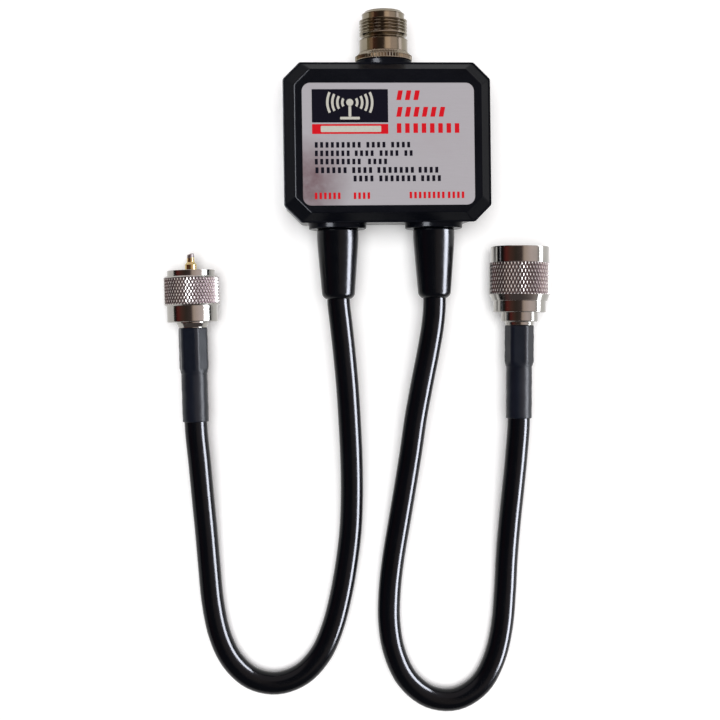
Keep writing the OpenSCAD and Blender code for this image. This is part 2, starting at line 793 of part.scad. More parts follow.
module hf_lead() {
    start = [-lead_x, lead_start_y, port_z];
    end = [hf_plug_xy[0], hf_plug_xy[1], hf_plug_z];
    path = concat([start], hf_route, [end]);
    color([0.02, 0.02, 0.025])
        tube(path, lead_d / 2, lead_sides, first = [0, -1, 0], last = [-sin(hf_plug_turn), cos(hf_plug_turn), 0]);
}

module vhf_lead() {
    start = [lead_x, lead_start_y, port_z];
    end = [vhf_plug_xy[0], vhf_plug_xy[1], vhf_plug_z];
    path = concat([start], vhf_route, [end]);
    color([0.02, 0.02, 0.025])
        tube(path, lead_d / 2, lead_sides, first = [0, -1, 0], last = [-sin(vhf_plug_turn), cos(vhf_plug_turn), 0]);
}

// Stretch of a lead held in its plug: jacket, folded braid, insulation and centre wire
module lead_plug_end(ferrule_z, dielectric_z, core_z) {
    jacket_z = ferrule_z - 0.2;
    braid_end = sleeve_l - 0.3;
    rotate_extrude()
        polygon([
            [0, 0], [lead_d / 2, 0], [lead_d / 2, jacket_z], [braid_d / 2, jacket_z],
            [braid_d / 2, braid_end], [stem_d / 2 + seat_gap, braid_end],
            [stem_d / 2 + seat_gap, jacket_z + 0.3], [dielectric_d / 2, jacket_z + 0.3],
            [dielectric_d / 2, dielectric_z], [core_d / 2, dielectric_z],
            [core_d / 2, core_z], [0, core_z]
        ]);
}

module hf_lead_plug_end() {
    color([0.05, 0.05, 0.05])
        on_hf_plug() lead_plug_end(hf_ferrule_z, hf_seat_z - 0.1, hf_seat_z + hf_core_l);
}

module vhf_lead_plug_end() {
    color([0.05, 0.05, 0.05])
        on_vhf_plug() lead_plug_end(vhf_ferrule_z, vhf_seat_z - 0.1, vhf_seat_z + vhf_core_l);
}

module ferrule(ferrule_z, ferrule_l, crimp_turn) {
    rotate([0, 0, crimp_turn])
        difference() {
            translate([0, 0, ferrule_z])
                cylinder(d = ferrule_af / cos(30), h = ferrule_l, $fn = 6);
            translate([0, 0, ferrule_z - past])
                cylinder(d = braid_d + 2 * seat_gap, h = ferrule_l + 2 * past);
        }
}

module hf_ferrule() {
    color([0.66, 0.65, 0.62])
        on_hf_plug() ferrule(hf_ferrule_z, hf_ferrule_l, hf_crimp_turn);
}

module vhf_ferrule() {
    color([0.66, 0.65, 0.62])
        on_vhf_plug() ferrule(vhf_ferrule_z, vhf_ferrule_l, vhf_crimp_turn);
}

// Shrunk sleeve: round over the lead, and drawn on to the six flats of the ferrule
module sleeve(ferrule_z, crimp_turn) {
    slope = 0.8;
    corner_d = sleeve_af / cos(30) - 0.8;
    rotate([0, 0, crimp_turn])
        difference() {
            union() {
                cylinder(d = sleeve_d, h = ferrule_z);
                translate([0, 0, ferrule_z - slope])
                    cylinder(d1 = sleeve_d, d2 = sleeve_af, h = slope);
                translate([0, 0, ferrule_z])
                    intersection() {
                        cylinder(d = sleeve_af / cos(30), h = sleeve_l - ferrule_z, $fn = 6);
                        cylinder(d = corner_d, h = sleeve_l - ferrule_z);
                    }
            }
            translate([0, 0, -past])
                cylinder(d = lead_d + 2 * seat_gap, h = sleeve_l + 2 * past);
            translate([0, 0, ferrule_z - 0.05])
                cylinder(d = (ferrule_af + 2 * seat_gap) / cos(30), h = sleeve_l, $fn = 6);
        }
}

module hf_sleeve() {
    color([0.08, 0.08, 0.10]) on_hf_plug() sleeve(hf_ferrule_z, hf_crimp_turn);
}

module vhf_sleeve() {
    color([0.08, 0.08, 0.10]) on_vhf_plug() sleeve(vhf_ferrule_z, vhf_crimp_turn);
}

module hf_plug_body() {
    tooth_w = 1.2;
    color([0.66, 0.65, 0.62])
        on_hf_plug()
            difference() {
                rotate_extrude()
                    polygon([
                        [stem_bore_d / 2, hf_ferrule_z + 0.3], [stem_d / 2, hf_ferrule_z + 0.3],
                        [stem_d / 2, sleeve_l], [sleeve_af / 2, sleeve_l],
                        [hf_neck_d / 2, hf_nut_z - 0.3], [hf_neck_d / 2, hf_flange_z],
                        [hf_flange_d / 2, hf_flange_z], [hf_flange_d / 2, hf_flange_z + hf_flange_l],
                        [hf_barrel_d / 2, hf_flange_z + hf_flange_l], [hf_barrel_d / 2, hf_barrel_z],
                        [hf_seat_d / 2, hf_barrel_z], [hf_seat_d / 2, hf_seat_z],
                        [stem_bore_d / 2, hf_seat_z]
                    ]);
                for (turn = [0, 90])
                    rotate([0, 0, turn + 45])
                        translate([-hf_barrel_d, -tooth_w / 2, hf_barrel_z - hf_tooth_l])
                            cube([2 * hf_barrel_d, tooth_w, hf_tooth_l + past]);
            }
}

module hf_plug_insulator() {
    color([0.90, 0.88, 0.82])
        on_hf_plug()
            rotate_extrude()
                polygon([
                    [hf_root_d / 2 + seat_gap, hf_seat_z], [hf_seat_d / 2 - seat_gap, hf_seat_z],
                    [hf_seat_d / 2 - seat_gap, hf_face_z - hf_tooth_l], [hf_seat_d / 2 - 0.5, hf_face_z],
                    [hf_root_d / 2 + seat_gap, hf_face_z]
                ]);
}

module hf_plug_pin() {
    cut_tilt = 14;
    color([0.80, 0.62, 0.22])
        on_hf_plug()
            difference() {
                rotate_extrude()
                    polygon([
                        [core_d / 2 + seat_gap, hf_seat_z], [hf_root_d / 2, hf_seat_z],
                        [hf_root_d / 2, hf_face_z], [hf_pin_d / 2, hf_face_z],
                        [hf_pin_d / 2, hf_pin_end - hf_tip_l - hf_step_l],
                        [hf_tip_d / 2 + hf_tip_taper, hf_pin_end - hf_tip_l],
                        [hf_tip_d / 2, hf_pin_end], [0, hf_pin_end],
                        [0, hf_seat_z + hf_core_l + 0.1],
                        [core_d / 2 + seat_gap, hf_seat_z + hf_core_l + 0.1]
                    ]);
                translate([-hf_tip_d / 2, 0, hf_pin_end - hf_tip_d * tan(cut_tilt)])
                    rotate([0, -cut_tilt, 0])
                        translate([-past, -hf_tip_d, 0])
                            cube([2 * hf_tip_d + past, 2 * hf_tip_d, hf_tip_d]);
            }
}

module hf_coupling_nut() {
    chamfer = 0.45;
    lip_r = hf_neck_d / 2 + run_gap;
    thread_r = nut_thread_d / 2;
    color([0.66, 0.65, 0.62])
        on_hf_plug()
            rotate_extrude()
                polygon([
                    [lip_r, hf_nut_z], [hf_band_d / 2 - chamfer, hf_nut_z],
                    [hf_band_d / 2, hf_nut_z + chamfer], [hf_band_d / 2, hf_knurl_z - chamfer],
                    [hf_knurl_d / 2 - chamfer, hf_knurl_z - chamfer], [hf_knurl_d / 2, hf_knurl_z],
                    [hf_knurl_d / 2, hf_rim_z - chamfer], [hf_knurl_d / 2 - chamfer, hf_rim_z],
                    [hf_rim_d / 2, hf_rim_z], [hf_rim_d / 2, hf_nut_end - 0.15],
                    [hf_rim_d / 2 - 0.15, hf_nut_end], [thread_r, hf_nut_end],
                    [thread_r, hf_nut_z + hf_lip_l], [lip_r, hf_nut_z + hf_lip_l]
                ]);
}

module vhf_plug_body() {
    slot_w = 0.4;
    slot_l = 5;
    color([0.66, 0.65, 0.62])
        on_vhf_plug()
            difference() {
                rotate_extrude()
                    polygon([
                        [stem_bore_d / 2, vhf_ferrule_z + 0.3], [stem_d / 2, vhf_ferrule_z + 0.3],
                        [stem_d / 2, sleeve_l], [vhf_neck_d / 2, sleeve_l],
                        [vhf_neck_d / 2, vhf_body_z], [vhf_body_d / 2, vhf_body_z],
                        [vhf_body_d / 2, vhf_ring_z], [vhf_groove_d / 2, vhf_ring_z],
                        [vhf_groove_d / 2, vhf_ring_z + vhf_ring_t],
                        [vhf_body_d / 2, vhf_ring_z + vhf_ring_t],
                        [vhf_body_d / 2, vhf_shoulder_z], [vhf_contact_d / 2, vhf_shoulder_z],
                        [vhf_contact_d / 2, vhf_contact_z], [vhf_contact_bore / 2, vhf_contact_z],
                        [vhf_contact_bore / 2, vhf_seat_z], [stem_bore_d / 2, vhf_seat_z]
                    ]);
                for (turn = [0, 90])
                    rotate([0, 0, turn])
                        translate([-vhf_contact_d, -slot_w / 2, vhf_contact_z - slot_l])
                            cube([2 * vhf_contact_d, slot_w, slot_l + past]);
            }
}

module vhf_plug_insulator() {
    color([0.93, 0.93, 0.90])
        on_vhf_plug()
            ring(vhf_contact_bore - 2 * seat_gap, vhf_base_d + 2 * seat_gap, vhf_seat_z, vhf_shoulder_z);
}

module vhf_plug_pin() {
    point_l = 0.5;
    tip_end = vhf_contact_z;
    tip_z = tip_end - vhf_tip_l;
    color([0.80, 0.62, 0.22])
        on_vhf_plug()
            rotate_extrude()
                polygon([
                    [core_d / 2 + seat_gap, vhf_seat_z], [vhf_base_d / 2, vhf_seat_z],
                    [vhf_base_d / 2, tip_z], [vhf_tip_d / 2, tip_z],
                    [vhf_tip_d / 2, tip_end - point_l], [vhf_tip_d / 4, tip_end], [0, tip_end],
                    [0, vhf_seat_z + vhf_core_l + 0.1],
                    [core_d / 2 + seat_gap, vhf_seat_z + vhf_core_l + 0.1]
                ]);
}

module vhf_plug_gasket() {
    color([0.45, 0.10, 0.06])
        on_vhf_plug()
            ring(vhf_body_d - 0.2, vhf_contact_d + 2 * seat_gap, vhf_shoulder_z, vhf_shoulder_z + vhf_gasket_t);
}

// Split spring ring in the body's groove, which keeps the nut from sliding off
module vhf_snap_ring() {
    gap_w = 1.6;
    color([0.55, 0.50, 0.42])
        on_vhf_plug()
            difference() {
                ring(vhf_ring_d, vhf_groove_d + 2 * seat_gap, vhf_ring_z + 0.05, vhf_ring_z + vhf_ring_t - 0.05);
                translate([0, -gap_w / 2, vhf_ring_z - past])
                    cube([vhf_ring_d, gap_w, vhf_ring_t + 2 * past]);
            }
}

module vhf_coupling_nut() {
    chamfer = 0.4;
    lip_r = vhf_body_d / 2 + run_gap;
    thread_r = nut_thread_d / 2;
    groove_r = vhf_ring_d / 2 + side_gap;
    groove_low = vhf_ring_z - side_gap;
    groove_high = vhf_ring_z + vhf_ring_t + side_gap;
    color([0.66, 0.65, 0.62])
        on_vhf_plug()
            rotate_extrude()
                polygon([
                    [lip_r, vhf_nut_z], [vhf_collar_d / 2 - chamfer, vhf_nut_z],
                    [vhf_collar_d / 2, vhf_nut_z + chamfer], [vhf_collar_d / 2, vhf_taper_z],
                    [vhf_rim_d / 2 - 0.5, vhf_taper_z], [vhf_knurl_d / 2 - 0.15, vhf_knurl_z],
                    [vhf_knurl_d / 2, vhf_knurl_z + 0.15], [vhf_knurl_d / 2, vhf_rim_z - 0.15],
                    [vhf_knurl_d / 2 - 0.15, vhf_rim_z], [vhf_rim_d / 2, vhf_rim_z],
                    [vhf_rim_d / 2, vhf_nut_end - chamfer], [vhf_rim_d / 2 - chamfer, vhf_nut_end],
                    [vhf_mouth_d / 2, vhf_nut_end], [vhf_mouth_d / 2, vhf_nut_end - vhf_mouth_l],
                    [thread_r, vhf_nut_end - vhf_mouth_l - 0.4], [thread_r, vhf_nut_z + vhf_collar_l],
                    [lip_r, vhf_nut_z + vhf_collar_l], [lip_r, groove_high],
                    [groove_r, groove_high], [groove_r, groove_low], [lip_r, groove_low]
                ]);
}

front_housing();
rear_cover();
cover_screws();
rating_label();
antenna_port_shell();
antenna_port_insulator();
antenna_port_contact();
antenna_port_washer();
antenna_port_nut();
antenna_wire();
hf_boot();
vhf_boot();
hf_lead_inner_end();
vhf_lead_inner_end();
lead_clamp_rings();
circuit_board();
board_screws();
shield_plate();
lowpass_coils();
highpass_coils();
lowpass_capacitors();
highpass_capacitors();
hf_lead();
hf_lead_plug_end();
hf_ferrule();
hf_sleeve();
hf_plug_body();
hf_plug_insulator();
hf_plug_pin();
hf_coupling_nut();
vhf_lead();
vhf_lead_plug_end();
vhf_ferrule();
vhf_sleeve();
vhf_plug_body();
vhf_plug_insulator();
vhf_plug_pin();
vhf_plug_gasket();
vhf_snap_ring();
vhf_coupling_nut();
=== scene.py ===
"""Looks of the antenna duplexer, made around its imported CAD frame.

Sizes below are in millimetres and are turned to metres where a mesh is made. Every new piece
is a surface worked out on a grid: rows follow a profile or a path, columns go round it.
"""
import json
import math

import bpy
import numpy as np
from mathutils import Matrix, Vector


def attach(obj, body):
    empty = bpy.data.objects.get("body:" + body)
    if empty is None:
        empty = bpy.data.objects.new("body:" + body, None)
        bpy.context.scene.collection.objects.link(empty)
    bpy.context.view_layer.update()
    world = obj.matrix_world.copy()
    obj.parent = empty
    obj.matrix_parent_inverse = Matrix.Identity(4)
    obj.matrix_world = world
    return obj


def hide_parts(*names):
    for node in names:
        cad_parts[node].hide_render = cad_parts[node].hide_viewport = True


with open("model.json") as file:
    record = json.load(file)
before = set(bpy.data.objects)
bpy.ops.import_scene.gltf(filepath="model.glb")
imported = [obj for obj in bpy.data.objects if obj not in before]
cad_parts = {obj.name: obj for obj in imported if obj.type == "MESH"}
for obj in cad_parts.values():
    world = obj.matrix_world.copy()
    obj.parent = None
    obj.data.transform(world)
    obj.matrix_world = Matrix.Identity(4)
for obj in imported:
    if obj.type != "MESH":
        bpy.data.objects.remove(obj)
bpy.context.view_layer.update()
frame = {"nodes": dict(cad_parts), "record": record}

MM = 0.001
BOX, HF_NUT, VHF_NUT = "box_and_leads", "hf_nut", "vhf_nut"

# Main sizes, the same as the CAD part's
BOX_W, BOX_H, BOX_D = 66.6, 51.0, 28.5
CORNER_CUT, WALL_LEAN, WALL = 5.4, 0.66, 2.2
SIDE_BEVEL, END_BEVEL, BEVEL_DEPTH = 3.2, 2.6, 4.0
COVER_T, FRONT_WALL = 2.0, 2.5
PORT_Z, LEAD_X, LEAD_R = 14.0, 16.0, 3.8
JACK_SEAT_Y, BOOT_SEAT_Y, BOOT_L = 27.9, -27.3, 23.0
LABEL_W, LABEL_H, LABEL_T, LABEL_R, LABEL_DROP = 55.5, 39.2, 0.2, 2.7, 1.1
THREAD_PITCH = 25.4 / 24
SLEEVE_L, HF_FERRULE_Z, VHF_FERRULE_Z = 31.2, 17.5, 18.8

# Axes of the turned pieces: a point on the axis, and its direction
UP = np.array([0.0, 0.0, 1.0])


def heading(degrees):
    """Level direction turned that far from +Y, anticlockwise."""
    a = math.radians(degrees)
    return np.array([-math.sin(a), math.cos(a), 0.0])


JACK_AXIS = (np.array([0.0, JACK_SEAT_Y, PORT_Z]), heading(0))
HF_BOOT_AXIS = (np.array([-LEAD_X, BOOT_SEAT_Y, PORT_Z]), heading(180))
VHF_BOOT_AXIS = (np.array([LEAD_X, BOOT_SEAT_Y, PORT_Z]), heading(180))
HF_AXIS = (np.array([-63.8, -90.4, 9.15]), heading(1))
VHF_AXIS = (np.array([44.6, -91.0, 10.2]), heading(-1))

# Routes of the leads, point for point as in the CAD part
HF_ROUTE = np.array([
    (-16, -50.3, 14), (-15.3, -58, 13.9), (-14.3, -68, 13.4), (-13.3, -80, 12.3), (-12.6, -92, 10.8),
    (-12.1, -104, 9.1), (-12, -116, 7.4), (-12.5, -128, 5.8), (-14, -140, 4.6), (-16.2, -151.5, 4),
    (-19, -161.5, 3.8), (-23, -170.2, 3.8), (-29.5, -177, 3.8), (-38, -179.8, 3.8), (-46.5, -177.8, 3.8),
    (-53, -171.6, 3.8), (-57, -163, 3.8), (-59.2, -152, 3.8), (-60.2, -140, 4.2), (-61, -128, 5.4),
    (-61.9, -116, 7.1), (-62.7, -105, 8.5), (-63.8, -90.4, 9.15),
])
VHF_ROUTE = np.array([
    (16, -50.3, 14), (15.5, -58, 13.9), (14, -67, 13.5), (11.8, -78, 12.6), (9.6, -90, 11.1),
    (7.9, -102, 9.4), (6, -114, 7.7), (4, -126, 6.1), (2, -138, 4.8), (0.7, -149, 4), (0.4, -160, 3.8),
    (2, -170.3, 3.8), (6.3, -179.7, 3.8), (13.8, -186, 3.8), (23, -187.1, 3.8), (31.3, -182.3, 3.8),
    (36.4, -173.4, 3.8), (39.1, -162.5, 3.8), (40.3, -150.5, 3.8), (40.9, -138.5, 4.8), (41.7, -126.5, 6.6),
    (42.7, -115, 8.4), (43.7, -103.5, 9.8), (44.6, -91, 10.2),
])


# Profiles

def rounded(points, radius, closed=True, steps=3):
    """Profile with its corners replaced by arcs: each arc touches both sides, and is made
    smaller where a side is short. radius is one number or one for each corner."""
    p = np.asarray(points, float)
    n = len(p)
    radii = np.broadcast_to(radius, n)
    out = []
    for i in range(n):
        if not closed and i in (0, n - 1):
            out.append(p[i])
            continue
        a, b = p[i - 1] - p[i], p[(i + 1) % n] - p[i]
        la, lb = np.linalg.norm(a), np.linalg.norm(b)
        turn = math.pi - math.acos(np.clip(a @ b / (la * lb), -1, 1))
        if radii[i] <= 0 or turn < 0.02:
            out.append(p[i])
            continue
        cut = min(radii[i] * math.tan(turn / 2), 0.45 * la, 0.45 * lb)
        start, end = p[i] + a / la * cut, p[i] + b / lb * cut
        middle = p[i] + (a / la + b / lb) * cut / (1 + math.cos(turn))
        r = np.linalg.norm(start - middle)
        a0 = math.atan2(*(start - middle)[::-1])
        a1 = math.atan2(*(end - middle)[::-1])
        sweep = (a1 - a0 + math.pi) % (2 * math.pi) - math.pi
        for t in np.linspace(0, 1, steps + 1):
            out.append(middle + r * np.array([math.cos(a0 + sweep * t), math.sin(a0 + sweep * t)]))
    return np.array(out)


def arc(s, r, radius, start, end, steps=8):
    """Points round (s, r), from one angle to another in degrees, 0 being straight outwards."""
    t = np.radians(np.linspace(start, end, steps + 1))
    return [(s + radius * math.sin(a), r + radius * math.cos(a)) for a in t]


def supported(points, edge=0.08, closed=True):
    """Profile with an extra point close to both ends of each long side, which keeps the
    shading of that side flat up to its rounded corners."""
    p = np.asarray(points, float)
    out = []
    for i in range(len(p) if closed else len(p) - 1):
        a, b = p[i], p[(i + 1) % len(p)]
        length = np.linalg.norm(b - a)
        out.append(a)
        if length > 4 * edge:
            out += [a + (b - a) * edge / length, b + (a - b) * edge / length]
    if not closed:
        out.append(p[-1])
    return np.array(out)


def divided(points, low, high, least_r, step):
    """Profile with the side between s = low and s = high that lies beyond radius least_r cut
    into equal lengths of about step, for a relief that is added later."""
    p = np.asarray(points, float)
    out = []
    for i in range(len(p)):
        a, b = p[i], p[(i + 1) % len(p)]
        out.append(a)
        inside = min(a[0], b[0]) >= low - 1e-6 and max(a[0], b[0]) <= high + 1e-6
        if inside and min(a[1], b[1]) >= least_r and abs(b[0] - a[0]) > 2 * step:
            count = max(2, round(abs(b[0] - a[0]) / step))
            out += [a + (b - a) * k / count for k in range(1, count)]
    return np.array(out)


# Meshes

def finish_piece(name, verts, faces, uvs, body, slot, material, nodes=(), crease=40):
    """Mesh object from points in mm: faces turned outwards by the sign of the volume that they
    enclose, smooth shading up to the crease angle, then placed on its body."""
    v = np.asarray(verts, float) * MM
    volume = 0.0
    for f in faces:
        first = v[f[:, 0]]
        for k in range(1, f.shape[1] - 1):
            volume += np.einsum("ij,ij->i", first, np.cross(v[f[:, k]], v[f[:, k + 1]])).sum()
    if volume < 0:
        faces = [f[:, ::-1] for f in faces]
        uvs = [u[:, ::-1] for u in uvs]
    mesh = bpy.data.meshes.new(name)
    mesh.from_pydata(v.tolist(), [], [row for f in faces for row in f.tolist()])
    layer = mesh.uv_layers.new(name="surface")
    layer.data.foreach_set("uv", np.concatenate([u.reshape(-1) for u in uvs]).astype(np.float32))
    mesh.shade_smooth()
    mesh.set_sharp_from_angle(angle=math.radians(crease))
    mesh.materials.append(material)
    obj = bpy.data.objects.new(name, mesh)
    bpy.context.scene.collection.objects.link(obj)
    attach(obj, body)
    if nodes:
        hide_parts(*nodes)
    return obj


def skin(points, ring=False, v_of_row=None):
    """Faces and UVs of a grid whose columns close on themselves. With ring the rows close too.
    Otherwise each end is closed by a fan round its middle. u runs once round, v is the length
    along the rows in mm."""
    rows, cols = points.shape[:2]
    verts = points.reshape(-1, 3)
    i = np.arange(rows if ring else rows - 1)[:, None]
    j = np.arange(cols)[None, :]
    i2, j2 = (i + 1) % rows, (j + 1) % cols
    quads = np.stack([i * cols + j, i * cols + j2, i2 * cols + j2, i2 * cols + j], -1).reshape(-1, 4)
    if v_of_row is None:
        step = np.linalg.norm(np.diff(points, axis=0, append=points[:1]), axis=2).mean(1)
        v_of_row = np.concatenate([[0], np.cumsum(step)])
    u0 = np.broadcast_to(j / cols, (len(i), cols))
    u1 = np.broadcast_to((j + 1) / cols, (len(i), cols))
    v0 = np.broadcast_to(v_of_row[i], (len(i), cols))
    v1 = np.broadcast_to(v_of_row[i + 1], (len(i), cols))
    quad_uv = np.stack([u0, v0, u1, v0, u1, v1, u0, v1], -1).reshape(-1, 8)
    faces, uvs = [quads], [quad_uv.reshape(-1, 4, 2)]
    if not ring:
        for row, flip in ((0, True), (rows - 1, False)):
            middle = len(verts)
            verts = np.vstack([verts, points[row].mean(0)])
            a, b = row * cols + j[0], row * cols + j2[0]
            fan = np.stack([b, a, np.full(cols, middle)] if flip else [a, b, np.full(cols, middle)], -1)
            ua, ub, v = j[0] / cols, (j[0] + 1) / cols, np.full(cols, v_of_row[row])
            fan_uv = np.stack([ub, v, ua, v, (ua + ub) / 2, v] if flip else [ua, v, ub, v, (ua + ub) / 2, v], -1)
            faces.append(fan)
            uvs.append(fan_uv.reshape(-1, 3, 2))
    return verts, faces, uvs


def joined(parts):
    """Several skins as one: the points one after another, the faces' numbers moved on."""
    verts, faces, uvs, start = [], [], [], 0
    for v, f, u in parts:
        verts.append(v)
        faces += [part + start for part in f]
        uvs += u
        start += len(v)
    return np.vstack(verts), faces, uvs


def turned(axis, profile, columns, relief=None, ring=True, up=UP):
    """Surface of revolution. A profile point (s, r) goes to origin + s * direction
    + r * (cos a * up + sin a * side), and relief(s, r, a) is added to r."""
    origin, direction = axis
    side = np.cross(direction, up)
    p = np.asarray(profile, float)
    a = 2 * math.pi * np.arange(columns) / columns
    s = np.repeat(p[:, :1], columns, 1)
    r = np.repeat(p[:, 1:], columns, 1)
    angle = np.repeat(a[None, :], len(p), 0)
    if relief is not None:
        r = r + relief(s, r, angle)
    points = (origin + s[..., None] * direction
              + r[..., None] * (np.cos(angle)[..., None] * up + np.sin(angle)[..., None] * side))
    length = np.concatenate([[0], np.cumsum(np.linalg.norm(np.diff(p, axis=0, append=p[:1]), axis=1))])
    return skin(points, ring, length)


def smooth_step(x, low, high):
    t = np.clip((x - low) / (high - low), 0, 1)
    return t * t * (3 - 2 * t)


# Materials

class Shading:
    """A node material with a Principled shader, and short calls for its procedural detail."""

    def __init__(self, name, base, roughness, metallic=0.0, **sockets):
        self.material = bpy.data.materials.new(name)
        self.material.use_nodes = True
        self.nodes, self.links = self.material.node_tree.nodes, self.material.node_tree.links
        self.shader = self.nodes["Principled BSDF"]
        self.base = base
        self.set("Base Color", (*base, 1))
        self.set("Roughness", roughness)
        self.set("Metallic", metallic)
        for socket, value in sockets.items():
            self.set(socket.replace("_", " "), value)
        self.coords = self.nodes.new("ShaderNodeTexCoord")
        self.height = None

    def set(self, socket, value):
        self.shader.inputs[socket].default_value = value

    def node(self, kind, links=(), **values):
        n = self.nodes.new(kind)
        for key, value in values.items():
            if hasattr(n, key):
                setattr(n, key, value)
            else:
                n.inputs[key.replace("_", " ")].default_value = value
        for socket, source in links:
            self.links.new(source, n.inputs[socket])
        return n

    def where(self, uv=False, scale=(1, 1, 1), turn=(0, 0, 0)):
        mapping = self.node("ShaderNodeMapping", [("Vector", self.coords.outputs["UV" if uv else "Object"])])
        mapping.inputs["Scale"].default_value = scale
        mapping.inputs["Rotation"].default_value = turn
        return mapping.outputs[0]

    def noise(self, vector, scale, detail=3.0, roughness=0.55):
        return self.node("ShaderNodeTexNoise", [("Vector", vector)],
                         Scale=scale, Detail=detail, Roughness=roughness).outputs["Fac"]

    def ranged(self, value, low, high, from_low=0.25, from_high=0.75):
        n = self.node("ShaderNodeMapRange", [("Value", value)])
        for socket, number in (("From Min", from_low), ("From Max", from_high), ("To Min", low), ("To Max", high)):
            n.inputs[socket].default_value = number
        return n.outputs[0]

    def maths(self, operation, a, b):
        n = self.nodes.new("ShaderNodeMath")
        n.operation = operation
        for socket, source in zip(n.inputs, (a, b)):
            if isinstance(source, (int, float)):
                socket.default_value = source
            else:
                self.links.new(source, socket)
        return n.outputs[0]

    def mixed(self, factor, colour_a, colour_b):
        n = self.nodes.new("ShaderNodeMix")
        n.data_type = "RGBA"
        for socket, source in ((n.inputs["Factor"], factor), (n.inputs[6], colour_a), (n.inputs[7], colour_b)):
            if isinstance(source, tuple):
                socket.default_value = (*source, 1)
            elif isinstance(source, (int, float)):
                socket.default_value = source
            else:
                self.links.new(source, socket)
        return n.outputs[2]

    def vary_colour(self, value, low=0.85, high=1.15, to=None):
        """Base colour from low to high times itself, or towards another colour."""
        darker = tuple(c * low for c in self.base)
        lighter = to or tuple(min(1.0, c * high) for c in self.base)
        self.links.new(self.mixed(value, darker, lighter), self.shader.inputs["Base Color"])

    def vary_roughness(self, value, low, high):
        self.links.new(self.ranged(value, low, high), self.shader.inputs["Roughness"])

    def bump(self, value, millimetres, strength=1.0):
        """Height in mm, laid over the bumps that are there already."""
        links = [("Height", value)]
        if self.height is not None:
            links.append(("Normal", self.height))
        n = self.node("ShaderNodeBump", links, Strength=strength, Distance=millimetres * MM)
        self.height = n.outputs[0]
        self.links.new(self.height, self.shader.inputs["Normal"])


def black_gloss_paint():
    m = Shading("box_paint", (0.0026, 0.0031, 0.0052), 0.2, Specular_IOR_Level=0.045)
    at = m.where()
    m.vary_colour(m.noise(at, 60, 4), 0.7, 1.6)
    m.vary_roughness(m.noise(at, 220, 5), 0.15, 0.26)
    m.bump(m.noise(at, 900, 2), 0.012, 0.5)
    m.bump(m.noise(at, 2600, 3), 0.004, 0.4)
    return m.material


def soft_black(name, base, low, high, grain=0.01):
    m = Shading(name, base, high, Specular_IOR_Level=0.15)
    at = m.where()
    m.vary_colour(m.noise(at, 90, 4), 0.75, 1.5)
    m.vary_roughness(m.noise(at, 300, 5), low, high)
    m.bump(m.noise(at, 1500, 4), grain, 0.5)
    return m.material


def lead_jacket():
    """Smooth extruded jacket: fine lines along the lead from the die, and faint soft waves."""
    m = Shading("lead_jacket", (0.0016, 0.0021, 0.0034), 0.2, Specular_IOR_Level=0.15)
    at = m.where(uv=True, scale=(1, 0.02, 1))
    m.vary_colour(m.noise(m.where(), 70, 4), 0.7, 1.5)
    m.vary_roughness(m.noise(m.where(), 260, 5), 0.14, 0.22)
    m.bump(m.noise(at, 40, 3), 0.012, 0.35)
    m.bump(m.noise(m.where(), 1200, 3), 0.005, 0.3)
    return m.material


def shrunk_sleeve():
    m = Shading("shrunk_sleeve", (0.0045, 0.0068, 0.0125), 0.4, Specular_IOR_Level=0.3)
    at = m.where()
    m.vary_colour(m.noise(at, 140, 5), 0.75, 1.4)
    m.vary_roughness(m.noise(at, 420, 4), 0.3, 0.42)
    m.bump(m.noise(at, 500, 4), 0.03, 0.5)
    m.bump(m.noise(at, 3200, 3), 0.006, 0.5)
    return m.material


def nickel(name, base, low, high, uv=True):
    """Turned and plated: fine rings square to the axis, soft stains and a little wear."""
    m = Shading(name, base, high, metallic=1.0)
    at = m.where()
    m.vary_colour(m.noise(at, 160, 5), 0.82, 1.1)
    m.vary_roughness(m.noise(at, 600, 5), low, high)
    if uv:
        rings = m.noise(m.where(uv=True, scale=(0.4, 1, 1)), 14, 4, 0.7)
        m.bump(rings, 0.006, 0.35)
    m.bump(m.noise(at, 2500, 3), 0.003, 0.3)
    return m.material


def knurled_nickel(name, base, low, high):
    """Nickel with a painted highlight on the knurl's tops, which are pale and matt, and painted shade in
    its grooves: the attribute groove is 0 on the tops, 1 at the bottom of the grooves and GROOVE_PLAIN off the knurl."""
    m = Shading(name, base, high, metallic=1.0)
    at = m.where()
    groove = m.node("ShaderNodeAttribute", attribute_name="groove").outputs["Fac"]
    stain = m.noise(at, 220, 5)
    clean = m.mixed(stain, tuple(c * 0.85 for c in base), tuple(min(1.0, c * 1.1) for c in base))
    # painted shade: a dark purplish colour laid into the knurl's grooves
    groove_shade = m.mixed(stain, (0.07, 0.03, 0.05), (0.15, 0.085, 0.12))
    # painted highlight: the knurl's tops turn pale and matt so that they read as bright dots
    tops_highlight = m.mixed(m.ranged(groove, 0, 1, 0, GROOVE_PLAIN), (0.96, 0.92, 0.89), clean)
    m.links.new(m.mixed(m.ranged(groove, 0, 0.95, GROOVE_PLAIN, 0.95), tops_highlight, groove_shade), m.shader.inputs["Base Color"])
    # less metallic on the tops, as part of the painted highlight
    m.links.new(m.ranged(groove, 0.35, 1, 0, GROOVE_PLAIN), m.shader.inputs["Metallic"])
    dull = m.maths("MULTIPLY", m.maths("ABSOLUTE", m.maths("SUBTRACT", groove, GROOVE_PLAIN), 0), 0.8)
    m.links.new(m.maths("ADD", m.ranged(stain, low, high), dull), m.shader.inputs["Roughness"])
    m.bump(m.noise(m.where(uv=True, scale=(0.4, 1, 1)), 14, 4, 0.7), 0.005, 0.3)
    return m.material


